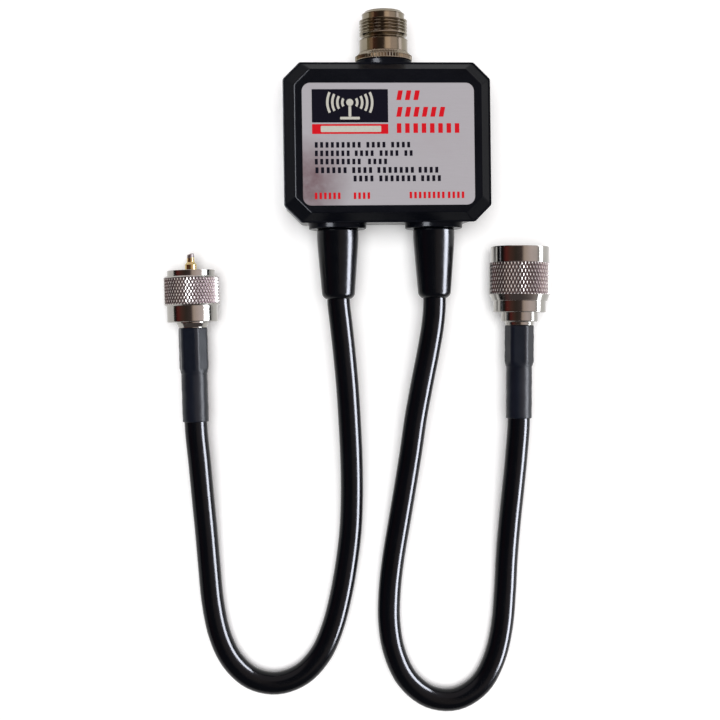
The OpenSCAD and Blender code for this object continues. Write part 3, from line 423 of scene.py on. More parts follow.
def gold_pin():
    """Gold up to the solder at the tip. v of the UV map is the length along the profile."""
    m = Shading("gold_pin", (0.78, 0.50, 0.14), 0.25, metallic=1.0)
    at = m.where()
    v = m.node("ShaderNodeSeparateXYZ", [("Vector", m.where(uv=True))]).outputs[1]
    edge = m.maths("ADD", v, m.maths("MULTIPLY", m.noise(at, 900, 3), 0.8))
    solder = m.ranged(edge, 0, 1, PIN_SOLDER_V - 0.1, PIN_SOLDER_V + 0.25)
    gold = m.mixed(m.noise(at, 400, 4), (0.40, 0.29, 0.11), (0.66, 0.53, 0.27))
    tin = m.mixed(m.noise(at, 900, 4), (0.20, 0.17, 0.17), (0.42, 0.38, 0.38))
    m.links.new(m.mixed(solder, gold, tin), m.shader.inputs["Base Color"])
    m.links.new(m.ranged(solder, 0.22, 0.42, 0, 1), m.shader.inputs["Roughness"])
    m.bump(m.noise(at, 1500, 4), 0.02, 0.5)
    return m.material


def plain_metal(name, base, low, high, scale=500):
    m = Shading(name, base, high, metallic=1.0)
    at = m.where()
    m.vary_colour(m.noise(at, scale * 0.4, 4), 0.8, 1.12)
    m.vary_roughness(m.noise(at, scale, 4), low, high)
    m.bump(m.noise(at, scale * 4, 3), 0.006, 0.4)
    return m.material


def plain_plastic(name, base, low, high, scale=300):
    m = Shading(name, base, high)
    at = m.where()
    m.vary_colour(m.noise(at, scale * 0.3, 4), 0.88, 1.08)
    m.vary_roughness(m.noise(at, scale, 4), low, high)
    m.bump(m.noise(at, scale * 5, 3), 0.006, 0.4)
    return m.material


def foil():
    """Silver label foil under a clear film, with faint brushed lines, soft warm clouds and a
    mottled stain that fades with the distance from a point near the lower left corner."""
    m = Shading("label_foil", (0.47, 0.445, 0.48), 0.4, metallic=0.15, Specular_IOR_Level=0.4)
    at = m.where()
    lines = m.noise(m.where(scale=(0.06, 1, 1)), 3500, 3)
    cloud = m.noise(at, 45, 3)
    silver = m.mixed(m.ranged(lines, 0, 1), (0.437, 0.428, 0.459), (0.462, 0.453, 0.486))
    clouded = m.mixed(m.ranged(cloud, 0, 0.35, 0.5, 0.8), silver, (0.40, 0.34, 0.37))
    spot = m.node("ShaderNodeVectorMath", [(0, m.coords.outputs["Object"])], operation="DISTANCE")
    spot.inputs[1].default_value = (-0.0275, -0.0135, BOX_D * MM)
    near = m.ranged(spot.outputs["Value"], 1, 0, 0.005, 0.016)
    stain = m.maths("MULTIPLY", near, m.ranged(m.noise(at, 320, 5), 0.6, 1))
    m.links.new(m.mixed(stain, clouded, (0.17, 0.105, 0.12)), m.shader.inputs["Base Color"])
    m.vary_roughness(lines, 0.34, 0.46)
    m.bump(lines, 0.002, 0.3)
    return m.material


def printed(name, base):
    m = Shading(name, base, 0.4, Specular_IOR_Level=0.12)
    at = m.where()
    m.vary_colour(m.noise(at, 1500, 4), 0.86, 1.1)
    m.vary_roughness(m.noise(at, 900, 3), 0.32, 0.48)
    m.bump(m.noise(at, 4000, 2), 0.002, 0.3)
    return m.material


PIN_SOLDER_V = 20.6
GROOVE_PLAIN = 0.5

PAINT = black_gloss_paint()
BOOT_RUBBER = soft_black("boot_rubber", (0.0016, 0.0021, 0.0034), 0.16, 0.26)
JACKET = lead_jacket()
SLEEVE = shrunk_sleeve()
NICKEL = nickel("nickel", (0.36, 0.35, 0.325), 0.08, 0.16)
JACK_NICKEL = nickel("jack_nickel", (0.25, 0.22, 0.165), 0.1, 0.18)
KNURL = knurled_nickel("knurled_nickel", (0.37, 0.36, 0.335), 0.08, 0.15)
FOIL = foil()
GOLD = gold_pin()
DARK_INK = printed("dark_ink", (0.004, 0.004, 0.010))
RED_INK = printed("red_ink", (0.64, 0.010, 0.018))
LIGHT_INK = printed("light_ink", (0.56, 0.55, 0.49))

BY_SLOT = {
    "black_paint": PAINT,
    "screw_steel": plain_metal("screw_steel", (0.58, 0.58, 0.60), 0.25, 0.4),
    "label_foil": FOIL,
    "nickel": plain_metal("plain_nickel", (0.62, 0.58, 0.54), 0.2, 0.32),
    "white_insulator": plain_plastic("white_insulator", (0.80, 0.80, 0.76), 0.4, 0.55),
    "cream_insulator": plain_plastic("cream_insulator", (0.74, 0.68, 0.56), 0.4, 0.55),
    "gold": plain_metal("plain_gold", (0.80, 0.54, 0.18), 0.2, 0.32),
    "copper": plain_metal("enamelled_copper", (0.72, 0.32, 0.16), 0.22, 0.34),
    "brass": plain_metal("plain_brass", (0.68, 0.50, 0.22), 0.25, 0.38),
    "boot_rubber": BOOT_RUBBER,
    "lead_jacket": JACKET,
    "board_laminate": plain_plastic("board_laminate", (0.05, 0.18, 0.09), 0.3, 0.45, 700),
    "tin_plate": plain_metal("tin_plate", (0.62, 0.62, 0.63), 0.25, 0.4),
    "ochre_ceramic": plain_plastic("ochre_ceramic", (0.55, 0.28, 0.07), 0.3, 0.4, 900),
    "blue_ceramic": plain_plastic("blue_ceramic", (0.05, 0.13, 0.36), 0.3, 0.4, 900),
    "shrunk_sleeve": SLEEVE,
    "gasket_rubber": plain_plastic("gasket_rubber", (0.22, 0.03, 0.02), 0.5, 0.65),
    "spring_bronze": plain_metal("spring_bronze", (0.42, 0.33, 0.22), 0.3, 0.45),
}
for part in frame["record"]["subparts"]:
    mesh = frame["nodes"][part["node"]].data
    mesh.materials.clear()
    mesh.materials.append(BY_SLOT[part["material_slot"]])


# Housing

def outline(half_w, half_h, cut, radius, steps=6, edge=0.25):
    """Eight-sided outline with round corners, anticlockwise. Each corner is an arc round
    corner - radius * (n1 + n2) / (1 + n1 . n2), and each side has a point near both ends."""
    a, b, c = half_w, half_h, cut
    corners = np.array([(a, -b + c), (a, b - c), (a - c, b), (-a + c, b),
                        (-a, b - c), (-a, -b + c), (-a + c, -b), (a - c, -b)])
    normals = np.radians(-45 + 45 * np.arange(9))
    out = []
    for k in range(8):
        n1 = np.array([math.cos(normals[k]), math.sin(normals[k])])
        n2 = np.array([math.cos(normals[k + 1]), math.sin(normals[k + 1])])
        middle = corners[k] - radius * (n1 + n2) / (1 + n1 @ n2)
        t = np.linspace(normals[k], normals[k + 1], steps + 1)
        arc = middle + radius * np.stack([np.cos(t), np.sin(t)], -1)
        along = np.array([-n1[1], n1[0]]), np.array([-n2[1], n2[0]])
        out += [arc[0] - along[0] * edge, *arc, arc[-1] + along[1] * edge]
    return np.array(out)


def housing_shell():
    """Rows follow one profile from the ceiling of the hollow, down its wall, out over the rear
    rim, up the outer wall, over the soft rim and the bevel to the front face. At each row the
    eight-sided outline is drawn in by its own amounts in x and y."""
    rim_z = BOX_D - BEVEL_DEPTH
    outer = rounded([(WALL_LEAN / SIDE_BEVEL, COVER_T), (0, rim_z), (1, BOX_D), (1.6, BOX_D)],
                    [0, 1.3, 0.75, 0], closed=False, steps=8)
    outer = np.vstack([[WALL_LEAN / SIDE_BEVEL + 0.06, COVER_T], [WALL_LEAN / SIDE_BEVEL, COVER_T + 0.2], outer[1:]])
    rows = []
    hollow_w = BOX_W / 2 - WALL_LEAN - WALL
    hollow_h = BOX_H / 2 - WALL_LEAN - WALL
    for z in (BOX_D - FRONT_WALL, COVER_T + 0.3, COVER_T):
        rows.append((hollow_w, hollow_h, CORNER_CUT, 0.3, z))
    for p, z in outer:
        cut = CORNER_CUT - 0.4 * min(p, 1)
        rows.append((BOX_W / 2 - SIDE_BEVEL * p, BOX_H / 2 - END_BEVEL * p, cut, 1.3, z))
    rows.append((BOX_W / 2 - 12, BOX_H / 2 - 12, 4, 1.3, BOX_D))
    points = np.array([np.insert(outline(*row[:4]), 2, row[4], axis=1) for row in rows])
    return skin(points)


def boss(axis, diameter, reach=4.4):
    """Round cast boss: straight wall, soft outer edge and a hollow curve where it leaves the box."""
    r = diameter / 2
    profile = rounded([(-reach, 1), (-reach, r), (-1.0, r), (0, r), (0, 1)], [0, 0, 0, 0.7, 0], False, 5)
    flare = profile.copy()
    foot = np.clip((-1.3 - flare[:, 0]) / 1.2, 0, 1)
    flare[:, 1] += np.where(flare[:, 1] > r - 0.01, 0.5 * foot ** 2, 0)
    return turned(axis, supported(flare, closed=False), 72, ring=False)


def post(x, y, low, high, d, bore):
    origin = np.array([x, y, low])
    profile = [(0, bore / 2), (high - low, bore / 2), (high - low, d / 2), (0, d / 2)]
    return turned((origin, UP), profile, 24, up=np.array([0.0, 1.0, 0.0]))


def front_housing():
    hollow_z = BOX_D - FRONT_WALL + 0.5
    parts = [housing_shell(), boss(JACK_AXIS, 18.6), boss(HF_BOOT_AXIS, 19), boss(VHF_BOOT_AXIS, 19)]
    for x in (-26.1, 26.1):
        for y in (-18.3, 18.3):
            parts.append(post(x, y, COVER_T, hollow_z, 6.4, 3.06))
    for x in (-18.9, 18.9):
        for y in (-15.14, 14.64):
            parts.append(post(x, y, 21.5, hollow_z, 5, 2.06))
    return finish_piece("front_housing_body", *joined(parts), BOX, "black_paint", PAINT, ["front_housing"])


# Label

def plates(name, outlines, low, high, slot, material, nodes=()):
    """Flat plates between two heights, each over an outline: a side wall and two faces fanned
    round the outline's middle."""
    parts = []
    for flat in outlines:
        flat = np.asarray(flat, float)
        parts.append(skin(np.stack([np.insert(flat, 2, z, axis=1) for z in (low, high)])))
    return finish_piece(name, *joined(parts), BOX, slot, material, nodes, crease=30)


def round_box(x0, x1, y0, y1, r, steps=6, slant=0.0):
    """Rectangle with round corners, leaned over by slant times its height."""
    out = []
    for cx, cy, start in ((x1 - r, y1 - r, 0), (x0 + r, y1 - r, 90), (x0 + r, y0 + r, 180), (x1 - r, y0 + r, 270)):
        t = np.radians(start + np.linspace(0, 90, steps + 1))
        out.append(np.stack([cx + r * np.cos(t), cy + r * np.sin(t)], -1))
    points = np.vstack(out)
    points[:, 0] += slant * (points[:, 1] - y0)
    return points


FACE_Z = BOX_D + LABEL_T
INK = 0.03

# Rows of the print: left end, foot, height, slant, letter pitch, and the letters of each word
# with the gap before it, all replaced by plain blocks
RED_ROWS = [(2.6, 12.95, 3.1, 0.2, 2.75, [(0, 3)]), (2.5, 7.6, 3.15, 0.2, 2.75, [(0, 6)]),
            (2.65, 2.4, 3.1, 0.0, 2.68, [(0, 8)]),
            (-24.0, -18.7, 2.1, 0.0, 1.48, [(0, 6), (3.6, 4)]), (6.5, -18.6, 2.1, 0.0, 1.5, [(0, 8), (0.4, 4)])]
DARK_ROWS = [(-23.8, -2.25, 1.8, 0.0, 1.72, [(0, 9), (1.1, 4), (1.1, 4)]),
             (-23.8, -4.95, 1.8, 0.0, 1.7, [(0, 7), (0.9, 4), (1.2, 4), (1.2, 2)]),
             (-23.85, -7.6, 1.8, 0.0, 1.72, [(0, 9), (1.6, 4)]),
             (-23.7, -10.4, 1.9, 0.0, 1.8, [(0, 6), (1.0, 4), (0.9, 7), (0.7, 4)]),
             (-11.5, -13.1, 1.9, 0.0, 1.8, [(0, 4), (1.1, 7), (0.9, 4)])]


def blocks(rows, fill=0.55):
    """Plain blocks in the places of the letters: each row is stepped along by its pitch."""
    out = []
    for left, foot, height, slant, pitch, words in rows:
        x = left
        for gap, letters in words:
            x += gap
            for _ in range(letters):
                out.append(round_box(x, x + fill * pitch, foot, foot + height, 0.12, 2, slant))
                x += pitch
    return out


def ring_part(x, y, radius, width, start, end, steps=14):
    """Outline of a part of a flat ring: out along the outer arc and back along the inner one."""
    t = np.radians(np.linspace(start, end, steps + 1))
    way = np.stack([np.cos(t), np.sin(t)], -1)
    return np.vstack([(x, y) + (radius + width / 2) * way, ((x, y) + (radius - width / 2) * way)[::-1]])


def strips(x, y, radius, width, start, end, steps=14):
    """The same part of a ring as short strips, so that each of them bulges outwards."""
    edges = np.linspace(start, end, steps + 1)
    return [ring_part(x, y, radius, width, a, b, 1) for a, b in zip(edges[:-1], edges[1:])]


def label():
    half_w, half_h = LABEL_W / 2, LABEL_H / 2
    plates("rating_label_plate", [round_box(-half_w, half_w, -half_h - LABEL_DROP, half_h - LABEL_DROP, LABEL_R, 10)],
           BOX_D, FACE_Z, "label_foil", FOIL, ["rating_label"])
    x0, x1 = -24.6, -0.1
    panel_top = FACE_Z + INK
    plates("label_dark_panel", [round_box(x0, x1, 5.8, 16.45, 0.15, 2)], FACE_Z - INK, panel_top, None, DARK_INK)
    plates("label_red_band", [round_box(x0, x1, 2.15, 5.3, 0.15, 2)], FACE_Z - INK, panel_top, None, RED_INK)
    mast_x, mast_y = -12.4, 12.2
    light = [round_box(mast_x - 0.45, mast_x + 0.45, 7.65, mast_y - 1.2, 0.1, 3),
             round_box(mast_x - 3.2, mast_x + 3.2, 6.75, 7.6, 0.3, 3),
             round_box(mast_x - 1.15, mast_x + 1.15, mast_y - 1.15, mast_y + 1.15, 1.14, 6)]
    for radius in (2.4, 4.0, 5.6, 7.2):
        for middle in (0, 180):
            half = 34 - radius
            light += strips(mast_x, mast_y, radius, 0.8, middle - half, middle + half)
    light.append(round_box(-21.8, -2.4, 2.75, 4.7, 0.3, 3))
    plates("label_light_marks", light, panel_top - INK, panel_top + INK, None, LIGHT_INK)
    plates("label_dark_blocks", blocks(DARK_ROWS), FACE_Z - INK, panel_top, None, DARK_INK)
    plates("label_red_blocks", blocks(RED_ROWS), FACE_Z - INK, panel_top, None, RED_INK)


# Leads

def smooth_path(route, start_way, end_way, per_leg=5):
    """Curve through all points of the route: on each leg a cubic with the slope of its
    neighbours' chord, and with the given directions at both ends."""
    p = np.asarray(route, float)
    legs = np.linalg.norm(np.diff(p, axis=0), axis=1)
    t = np.concatenate([[0], np.cumsum(legs)])
    slope = np.empty_like(p)
    slope[1:-1] = (p[2:] - p[:-2]) / (t[2:] - t[:-2])[:, None]
    slope[0], slope[-1] = start_way, end_way
    out = []
    for i in range(len(legs)):
        u = np.linspace(0, 1, per_leg, endpoint=False)[:, None]
        h = legs[i]
        out.append((2 * u**3 - 3 * u**2 + 1) * p[i] + (u**3 - 2 * u**2 + u) * h * slope[i]
                   + (3 * u**2 - 2 * u**3) * p[i + 1] + (u**3 - u**2) * h * slope[i + 1])
    out.append(p[-1:])
    return np.vstack(out)


def tube(path, radius, columns=40):
    """Round tube: at each path point a circle spanned by the level side and the direction
    square to it and to the path."""
    way = np.gradient(path, axis=0)
    way /= np.linalg.norm(way, axis=1)[:, None]
    side = np.cross(way, UP)
    side /= np.linalg.norm(side, axis=1)[:, None]
    top = np.cross(side, way)
    a = 2 * math.pi * np.arange(columns) / columns
    points = (path[:, None] + radius * (np.cos(a)[None, :, None] * top[:, None]
                                        + np.sin(a)[None, :, None] * side[:, None]))
    return skin(points)


def lead(name, node, route, axis):
    path = smooth_path(route, (0, -1, 0), axis[1])
    obj = finish_piece(name, *tube(path, LEAD_R), BOX, "lead_jacket", JACKET, [node])
    return obj


# Boots

def boot(name, node, axis):
    """Moulded boot: round shoulder at the box, a slight taper, and a round mouth whose arc
    ends just outside the lead."""
    round_r, end_r = 2.4, 5.5
    turn = math.degrees(math.acos((LEAD_R + 0.22 - end_r + round_r) / round_r))
    mouth = arc(BOOT_L - round_r * math.sin(math.radians(turn)), end_r - round_r, round_r, 5, turn)
    profile = [(0, 3.9), (0, 6.2), *arc(0.6, 6.25, 0.6, -90, 0, 5), (3, 6.88), (6, 6.7), *mouth,
               (BOOT_L, LEAD_R + 0.06), (BOOT_L - 2, LEAD_R + 0.03)]
    return finish_piece(name, *turned(axis, supported(profile, 0.12), 96), BOX, "boot_rubber", BOOT_RUBBER, [node])


# Jack

def v_thread(s, angle, low, pitch, depth, flat=0.2):
    """Depth of a right-handed V thread at length s and angle, 0 on the crests: a triangle wave
    of s / pitch - angle / turn, cut flat at the crest."""
    phase = (s - low) / pitch + angle / (2 * math.pi)
    wave = np.abs(2 * (phase - np.floor(phase)) - 1)
    return depth * np.clip((wave - flat) / (1 - flat), 0, 1)


def antenna_port_shell():
    thread_low, thread_high, end = 8.7, 13.4, 16.4
    profile = rounded(
        [(-9.26, 4.6), (-9.26, 6.35), (0, 6.35), (0, 9.4), (1.6, 9.4), (2.9, 8.05), (6.9, 8.0), (7.7, 7.05),
         (7.9, 7.05), (thread_low, 7.9375), (thread_high, 7.9375), (thread_high + 0.05, 7.0), (end - 0.9, 7.0),
         (end, 6.1), (end, 4.25), (5.9, 4.25), (5.9, 4.6)],
        [0, 0.2, 0, 0.25, 0.4, 0.25, 0.3, 0.3, 0.3, 0, 0, 0.1, 0.5, 0.3, 0.2, 0, 0], steps=4)
    profile = supported(profile, 0.1)
    profile = divided(profile, 0.1, 2.9, 7.9, 0.25)
    profile = divided(profile, thread_low, thread_high, 7.9, THREAD_PITCH / 12)

    def relief(s, r, a):
        ends = smooth_step(s, thread_low, thread_low + 0.5) * (1 - smooth_step(s, thread_high - 0.6, thread_high))
        cut = v_thread(s, a, thread_low, THREAD_PITCH, 0.62) * ends * (r > 7.85) * (s > thread_low - 0.01)
        ribs = 0.5 - 0.5 * np.cos(58 * a)
        band = smooth_step(s, 0.1, 0.35) * (1 - smooth_step(s, 2.6, 2.95)) * (r > 7.9)
        return -cut - 0.28 * ribs * band

    return finish_piece("antenna_port_shell_body", *turned(JACK_AXIS, profile, 58 * 6, relief), BOX, "nickel",
                        JACK_NICKEL, ["antenna_port_shell"])


# Plugs

def sleeve(name, node, axis, ferrule_z, crimp_turn):
    """Shrunk sleeve: round over the lead and drawn on to a six-sided ferrule. The radius of the
    six-sided part is the smooth minimum of its flats' distances, a p-norm of high order."""
    rows = [(0.0, 3.85), (0.0, 4.15), (0.12, 4.32), (0.35, 4.35)]
    rows += [(s, 4.35) for s in np.linspace(1, ferrule_z - 1.4, 14)]
    rows += [(s, 4.5) for s in np.linspace(ferrule_z - 1.2, ferrule_z + 0.6, 8)]
    rows += [(s, 4.5) for s in np.linspace(ferrule_z + 1.2, SLEEVE_L - 0.4, 12)]
    rows += [(SLEEVE_L - 0.1, 4.45), (SLEEVE_L, 4.3), (SLEEVE_L, 4.13)]

    def relief(s, r, a):
        six = smooth_step(s, ferrule_z - 1.2, ferrule_z + 0.5)
        turn = a - math.radians(crimp_turn + 30)
        flats = sum(np.maximum(np.cos(turn - k * math.pi / 3), 0) ** 26 for k in range(6)) ** (-1 / 26)
        body = (r > 4.2) * (r * 1.0)
        soft = 0.03 * np.sin(s * 0.9 + 2 * a) + 0.025 * np.sin(s * 1.7 - a + 1)
        return six * (body * (np.minimum(flats, 1.085) - 1)) + soft * (r > 4.2)

    return finish_piece(name, *turned(axis, rows, 96, relief), BOX, "shrunk_sleeve", SLEEVE, [node], crease=60)


def knurl(s, a, low, count, height):
    """Diamond knurl, 0 on the tops and 1 in the grooves: the larger of the distances to the
    middle of two crossing families of helical ridges, to the power 1.2 for round tops."""
    u, w = count * a / (2 * math.pi), (s - low) / height
    p, q = u + w, u - w
    far = 2 * np.maximum(np.abs(p - np.round(p)), np.abs(q - np.round(q)))
    return np.clip(far, 0, 1) ** 1.2


def knurled_nut(name, node, axis, body, outside, inside, low, high, count, height, depth, knurl_r, thread):
    """Coupling nut: one closed profile, knurled on its widest part and threaded inside."""
    columns = count * 8
    corners = outside + inside
    points = np.array([c[:2] for c in corners])
    radii = np.array([c[2] for c in corners])
    profile = supported(rounded(points, radii, steps=3), 0.08)
    profile = divided(profile, low, high, knurl_r - 0.05, height / 14)
    thread_low, thread_high, thread_r = thread
    inner = divided(profile, thread_low, thread_high, thread_r - 0.05, THREAD_PITCH / 8)

    def relief(s, r, a):
        on_knurl = (r > knurl_r - 0.05) * smooth_step(s, low, low + 0.25) * (1 - smooth_step(s, high - 0.25, high))
        on_bore = (np.abs(r - thread_r) < 0.05) * smooth_step(s, thread_low, thread_low + 0.5)
        on_bore = on_bore * (1 - smooth_step(s, thread_high - 0.5, thread_high))
        cut = 0.5 * (1 - v_thread(s, -a, thread_low, THREAD_PITCH, 1.0, 0.25))
        return -depth * knurl(s, a, low, count, height) * on_knurl + cut * on_bore

    verts, faces, uvs = turned(axis, inner, columns, relief)
    obj = finish_piece(name, verts, faces, uvs, body, "nickel", KNURL, [node], crease=50)
    p = np.repeat(inner[:, :1], columns, 1)
    r = np.repeat(inner[:, 1:], columns, 1)
    a = np.repeat(2 * math.pi * np.arange(columns)[None, :] / columns, len(inner), 0)
    groove = np.where((r > knurl_r - 0.05) & (p > low) & (p < high), knurl(p, a, low, count, height), GROOVE_PLAIN)
    values = obj.data.attributes.new("groove", "FLOAT", "POINT")
    values.data.foreach_set("value", groove.reshape(-1).astype(np.float32))
    return obj


def hf_coupling_nut():
    z0 = 33.1
    outside = [(z0, 5.35, 0), (z0, 8.4, 0.4), (z0 + 5.45, 8.4, 0.12), (z0 + 5.45, 8.75, 0.1), (z0 + 5.9, 9.15, 0.1),
               (z0 + 14.75, 9.15, 0.1), (z0 + 15.2, 8.75, 0.1), (z0 + 15.2, 7.95, 0.08), (z0 + 17.15, 7.95, 0.15)]
    inside = [(z0 + 17.15, 7.45, 0.2), (z0 + 2.6, 7.45, 0), (z0 + 2.6, 5.35, 0)]
    return knurled_nut("hf_coupling_nut_body", "hf_coupling_nut", HF_AXIS, HF_NUT, outside, inside,
                       z0 + 5.9, z0 + 14.75, 52, 2.06, 0.42, 9.15, (z0 + 3.6, z0 + 17.1, 7.45))


def vhf_coupling_nut():
    z0 = 35.6
    high, end = z0 + 16.7, z0 + 22.1
    outside = [(z0, 6.25, 0), (z0, 8.85, 0.35), (z0 + 3.9, 8.85, 0.12), (z0 + 3.9, 9.3, 0.15), (z0 + 6.0, 10.05, 0.1),
               (z0 + 6.0, 10.2, 0.08), (high, 10.2, 0.08), (high, 9.8, 0.08), (end, 9.8, 0.3)]
    inside = [(end, 8.15, 0.3), (end - 2.2, 8.15, 0.1), (end - 2.6, 7.45, 0.1), (z0 + 3.9, 7.45, 0),
              (z0 + 3.9, 6.25, 0)]
    return knurled_nut("vhf_coupling_nut_body", "vhf_coupling_nut", VHF_AXIS, VHF_NUT, outside, inside,
                       z0 + 6.0, high, 54, 2.56, 0.44, 10.2, (z0 + 5.5, end - 2.7, 7.45))


def hf_plug_body():
    profile = rounded([(17.8, 2.43), (17.8, 2.96), (31.2, 2.96), (31.2, 4.5), (32.8, 5.3), (36.1, 5.3), (36.1, 6.9),
                       (37.5, 6.9), (37.5, 6.0), (40.55, 6.0), (40.55, 4.8), (36.5, 4.8), (36.5, 2.43)],
                      [0, 0, 0, 0.3, 0.2, 0, 0.1, 0.1, 0, 0.12, 0.12, 0, 0], steps=3)
    return finish_piece("hf_plug_shell", *turned(HF_AXIS, supported(profile), 96), BOX, "nickel", NICKEL,
                        ["hf_plug_body"])


def vhf_plug_body():
    profile = rounded([(17.8, 2.43), (17.8, 2.96), (31.2, 2.96), (31.2, 4.8), (32.5, 4.8), (32.5, 6.2), (37.2, 6.2),
                       (37.2, 5.6), (38.2, 5.6), (38.2, 6.2), (44.5, 6.2), (44.5, 4.05), (53.3, 4.05), (53.3, 3.5),
                       (36.0, 3.5), (36.0, 2.43)],
                      [0, 0, 0, 0.3, 0.25, 0.4, 0, 0, 0, 0, 0.1, 0, 0.2, 0.1, 0, 0], steps=3)
    return finish_piece("vhf_plug_shell", *turned(VHF_AXIS, supported(profile), 96), BOX, "nickel", NICKEL,
                        ["vhf_plug_body"])


def hf_plug_pin():
    """Stepped pin with solder over its tip, whose end leans: past the step the length is taken
    back by the distance from the pin's +x side."""
    profile = rounded([(36.5, 0.73), (36.5, 2.3), (40.35, 2.3), (40.35, 1.98), (52.15, 1.98), (53.05, 1.3),
                       (56.05, 1.1), (56.05, 0.05)], [0, 0, 0, 0, 0.25, 0.3, 0.45, 0], closed=False, steps=4)
    profile = supported(profile, 0.1, closed=False)
    verts, faces, uvs = turned(HF_AXIS, profile, 48, ring=False)
    along = (verts - HF_AXIS[0]) @ HF_AXIS[1]
    side = (verts - HF_AXIS[0]) @ np.cross(HF_AXIS[1], UP)
    back = math.tan(math.radians(14)) * (1.1 - side) * smooth_step(along, 53.6, 56.05)
    verts = verts - back[:, None] * HF_AXIS[1]
    return finish_piece("hf_plug_pin_body", verts, faces, uvs, BOX, "gold", GOLD, ["hf_plug_pin"])


front_housing()
label()
antenna_port_shell()
boot("hf_boot_body", "hf_boot", HF_BOOT_AXIS)
boot("vhf_boot_body", "vhf_boot", VHF_BOOT_AXIS)
hf_pieces = [hf_plug_body(), hf_plug_pin(), hf_coupling_nut(),
             sleeve("hf_sleeve_body", "hf_sleeve", HF_AXIS, HF_FERRULE_Z, 15),
             "hf_lead_plug_end", "hf_ferrule", "hf_plug_insulator"]
vhf_pieces = [vhf_plug_body(), vhf_coupling_nut(),
              sleeve("vhf_sleeve_body", "vhf_sleeve", VHF_AXIS, VHF_FERRULE_Z, 21),
              "vhf_lead_plug_end", "vhf_ferrule", "vhf_plug_insulator", "vhf_plug_pin", "vhf_plug_gasket",
              "vhf_snap_ring"]
lead("hf_lead_tube", "hf_lead", HF_ROUTE, HF_AXIS)
lead("vhf_lead_tube", "vhf_lead", VHF_ROUTE, VHF_AXIS)


# Camera

def camera():
    """The fitted camera: nearly straight above, 0.48 m up, 70.6 mm on a 36 mm sensor."""
    data = bpy.data.cameras.new("photo_camera")
    data.lens, data.sensor_width = 70.6, 36.0
    data.clip_start, data.clip_end = 0.01, 20
    obj = bpy.data.objects.new("photo_camera", data)
    turn = Vector([math.radians(a) for a in (-0.84, -4.15, -0.79)])
    obj.matrix_world = (Matrix.Translation(Vector((-43.0, -63.5, 481.3)) * MM)
                        @ Matrix.Rotation(turn.length, 4, turn.normalized()))
    bpy.context.scene.collection.objects.link(obj)
    bpy.context.scene.camera = obj


# Floor and light

def floor():
    """Large pale sheet. The rays of Light Path that see it directly or in a mirror get a little
    light of its own added, which lifts it to white and leaves the shadows."""
    mesh = bpy.data.meshes.new("floor")
    n = 8.0
    mesh.from_pydata([(-n, -n, -0.0001), (n, -n, -0.0001), (n, n, -0.0001), (-n, n, -0.0001)], [], [(0, 1, 2, 3)])
    m = Shading("floor_white", (0.94, 0.94, 0.94), 0.9, Specular_IOR_Level=0.0)
    rays = m.nodes.new("ShaderNodeLightPath")
    seen = m.maths("MAXIMUM", rays.outputs["Is Camera Ray"],
                   m.maths("MAXIMUM", rays.outputs["Is Glossy Ray"], rays.outputs["Is Transmission Ray"]))
    m.set("Emission Color", (1, 1, 1, 1))
    m.links.new(m.maths("MULTIPLY", seen, 0.13), m.shader.inputs["Emission Strength"])
    mesh.materials.append(m.material)
    obj = bpy.data.objects.new("floor", mesh)
    bpy.context.scene.collection.objects.link(obj)


SKY = [(0.0, (0.05, 0.055, 0.05)), (0.06, (0.006, 0.006, 0.006)), (0.14, (0.09, 0.018, 0.016)),
       (0.24, (0.06, 0.028, 0.022)), (0.36, (0.032, 0.024, 0.02)), (0.49, (0.05, 0.036, 0.034)),
       (0.545, (0.38, 0.30, 0.26)), (0.70, (0.50, 0.42, 0.41)), (0.83, (0.46, 0.40, 0.39)),
       (0.88, (0.27, 0.25, 0.25)), (0.96, (0.30, 0.30, 0.31)), (1.0, (0.2, 0.21, 0.2))]
SOFTBOX_FAR = (0.50, 0.43, 0.44)
SOFTBOX_NEAR = (0.06, 0.05, 0.05)


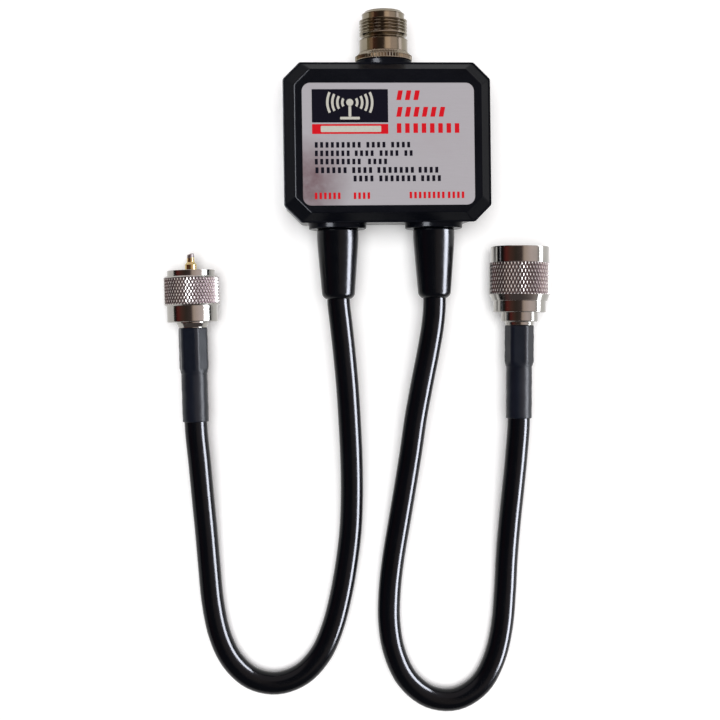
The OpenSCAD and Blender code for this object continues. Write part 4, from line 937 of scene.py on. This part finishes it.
def sky():
    """Dim room by direction: the angle from the zenith towards +X picks a tone, and towards +Y
    and -Y it passes into two softboxes, the one at +Y the lighter. Diffuse rays see a fifth of
    it, so that the light on the floor comes from overhead, and the camera sees white."""
    world = bpy.data.worlds.new("room")
    world.use_nodes = True
    bpy.context.scene.world = world
    nodes, links = world.node_tree.nodes, world.node_tree.links
    back = nodes["Background"]
    coords = nodes.new("ShaderNodeTexCoord")
    parts = nodes.new("ShaderNodeSeparateXYZ")
    links.new(coords.outputs["Generated"], parts.inputs[0])

    def maths(operation, *sources):
        n = nodes.new("ShaderNodeMath")
        n.operation = operation
        for socket, source in zip(n.inputs, sources):
            links.new(source, socket)
        return n.outputs[0]

    def ranged(source, low, high, kind="LINEAR"):
        n = nodes.new("ShaderNodeMapRange")
        n.interpolation_type = kind
        n.inputs["From Min"].default_value, n.inputs["From Max"].default_value = low, high
        links.new(source, n.inputs["Value"])
        return n.outputs[0]

    angle = maths("ARCTAN2", parts.outputs["X"], parts.outputs["Z"])
    ramp = nodes.new("ShaderNodeValToRGB")
    links.new(ranged(angle, -math.pi / 2, math.pi / 2), ramp.inputs["Fac"])
    ends = ramp.color_ramp.elements
    for k, (at, colour) in enumerate(SKY):
        e = ends[k] if k < 2 else ends.new(at)
        e.position, e.color = at, (*colour, 1)
    tone = ramp.outputs["Color"]
    for low, high, colour in ((0.42, 0.62, SOFTBOX_FAR), (-0.42, -0.62, SOFTBOX_NEAR)):
        mix = nodes.new("ShaderNodeMix")
        mix.data_type = "RGBA"
        links.new(ranged(parts.outputs["Y"], low, high, "SMOOTHSTEP"), mix.inputs["Factor"])
        links.new(tone, mix.inputs[6])
        mix.inputs[7].default_value = (*colour, 1)
        tone = mix.outputs[2]
    rays = nodes.new("ShaderNodeLightPath")
    mix = nodes.new("ShaderNodeMix")
    mix.data_type = "RGBA"
    links.new(rays.outputs["Is Camera Ray"], mix.inputs["Factor"])
    links.new(tone, mix.inputs[6])
    mix.inputs[7].default_value = (0.5, 0.5, 0.5, 1)
    links.new(mix.outputs[2], back.inputs["Color"])
    strength = nodes.new("ShaderNodeMath")
    strength.operation = "MULTIPLY_ADD"
    strength.inputs[1].default_value, strength.inputs[2].default_value = -1.6, 2.0
    links.new(rays.outputs["Is Diffuse Ray"], strength.inputs[0])
    links.new(strength.outputs[0], back.inputs["Strength"])


def lamp(name, kind, place, aim, energy, size=None, colour=(1, 1, 1), on=(), **ways):
    """A lamp that looks from place to aim. ways says which rays see it, and on lists the pieces
    that it lights, all of them when it is empty."""
    data = bpy.data.lights.new(name, kind)
    data.energy, data.color = energy, colour
    if kind == "AREA":
        data.shape, data.size, data.size_y = "RECTANGLE", *size
    else:
        data.angle = size
    obj = bpy.data.objects.new(name, data)
    place, aim = Vector(place), Vector(aim)
    obj.matrix_world = Matrix.Translation(place) @ (place - aim).to_track_quat("Z", "Y").to_matrix().to_4x4()
    for key, value in ways.items():
        setattr(obj, "visible_" + key, value)
    if on:
        group = bpy.data.collections.new(name + "_pieces")
        for piece in on:
            group.objects.link(bpy.data.objects[piece])
        obj.light_linking.receiver_collection = group
    bpy.context.scene.collection.objects.link(obj)
    return obj


camera()
floor()
sky()
lamp("overhead", "SUN", (-0.08, 0, 1), (0, 0, 0), 2.85, math.radians(34), glossy=False)
BLUISH = (0.90, 0.93, 1.0)
RIGHT, MIDDLE = (0.93, 0.0, 0.375), (0, -0.06, 0.01)
lamp("lead_window", "AREA", RIGHT, MIDDLE, 150, (1.6, 0.42), (0.85, 0.88, 1.0),
     ["hf_lead_tube", "vhf_lead_tube", "hf_boot_body", "vhf_boot_body"], diffuse=False)
lamp("plug_window", "AREA", RIGHT, MIDDLE, 30, (1.6, 0.44), BLUISH,
     ["hf_coupling_nut_body", "hf_plug_shell", "hf_plug_pin_body", "hf_sleeve_body", "vhf_sleeve_body"], diffuse=False)
lamp("low_window", "AREA", (1.0, 0.0, 0.13), MIDDLE, 14, (1.6, 0.24), BLUISH,
     ["vhf_coupling_nut_body", "vhf_plug_shell"], diffuse=False)
lamp("edge_light", "AREA", (-0.57, 0.0, 0.82), (0, 0, 0.02), 150, (1.7, 0.42), BLUISH, ["front_housing_body"],
     diffuse=False)
JACK = ["antenna_port_shell_body"]
lamp("jack_window", "AREA", (1.0, 0.0, 0.16), MIDDLE, 2.2, (1.6, 0.3), (0.88, 0.84, 1.0), JACK, diffuse=False)
lamp("jack_left", "AREA", (-0.96, 0.0, 0.30), MIDDLE, 1.1, (1.6, 0.6), (1.0, 0.84, 0.58), JACK, diffuse=False)
lamp("jack_top", "AREA", (-0.05, 0.0, 1.0), MIDDLE, 0.9, (1.6, 0.3), (1.0, 0.8, 0.66), JACK, diffuse=False)

bpy.context.scene.view_settings.view_transform = "Standard"
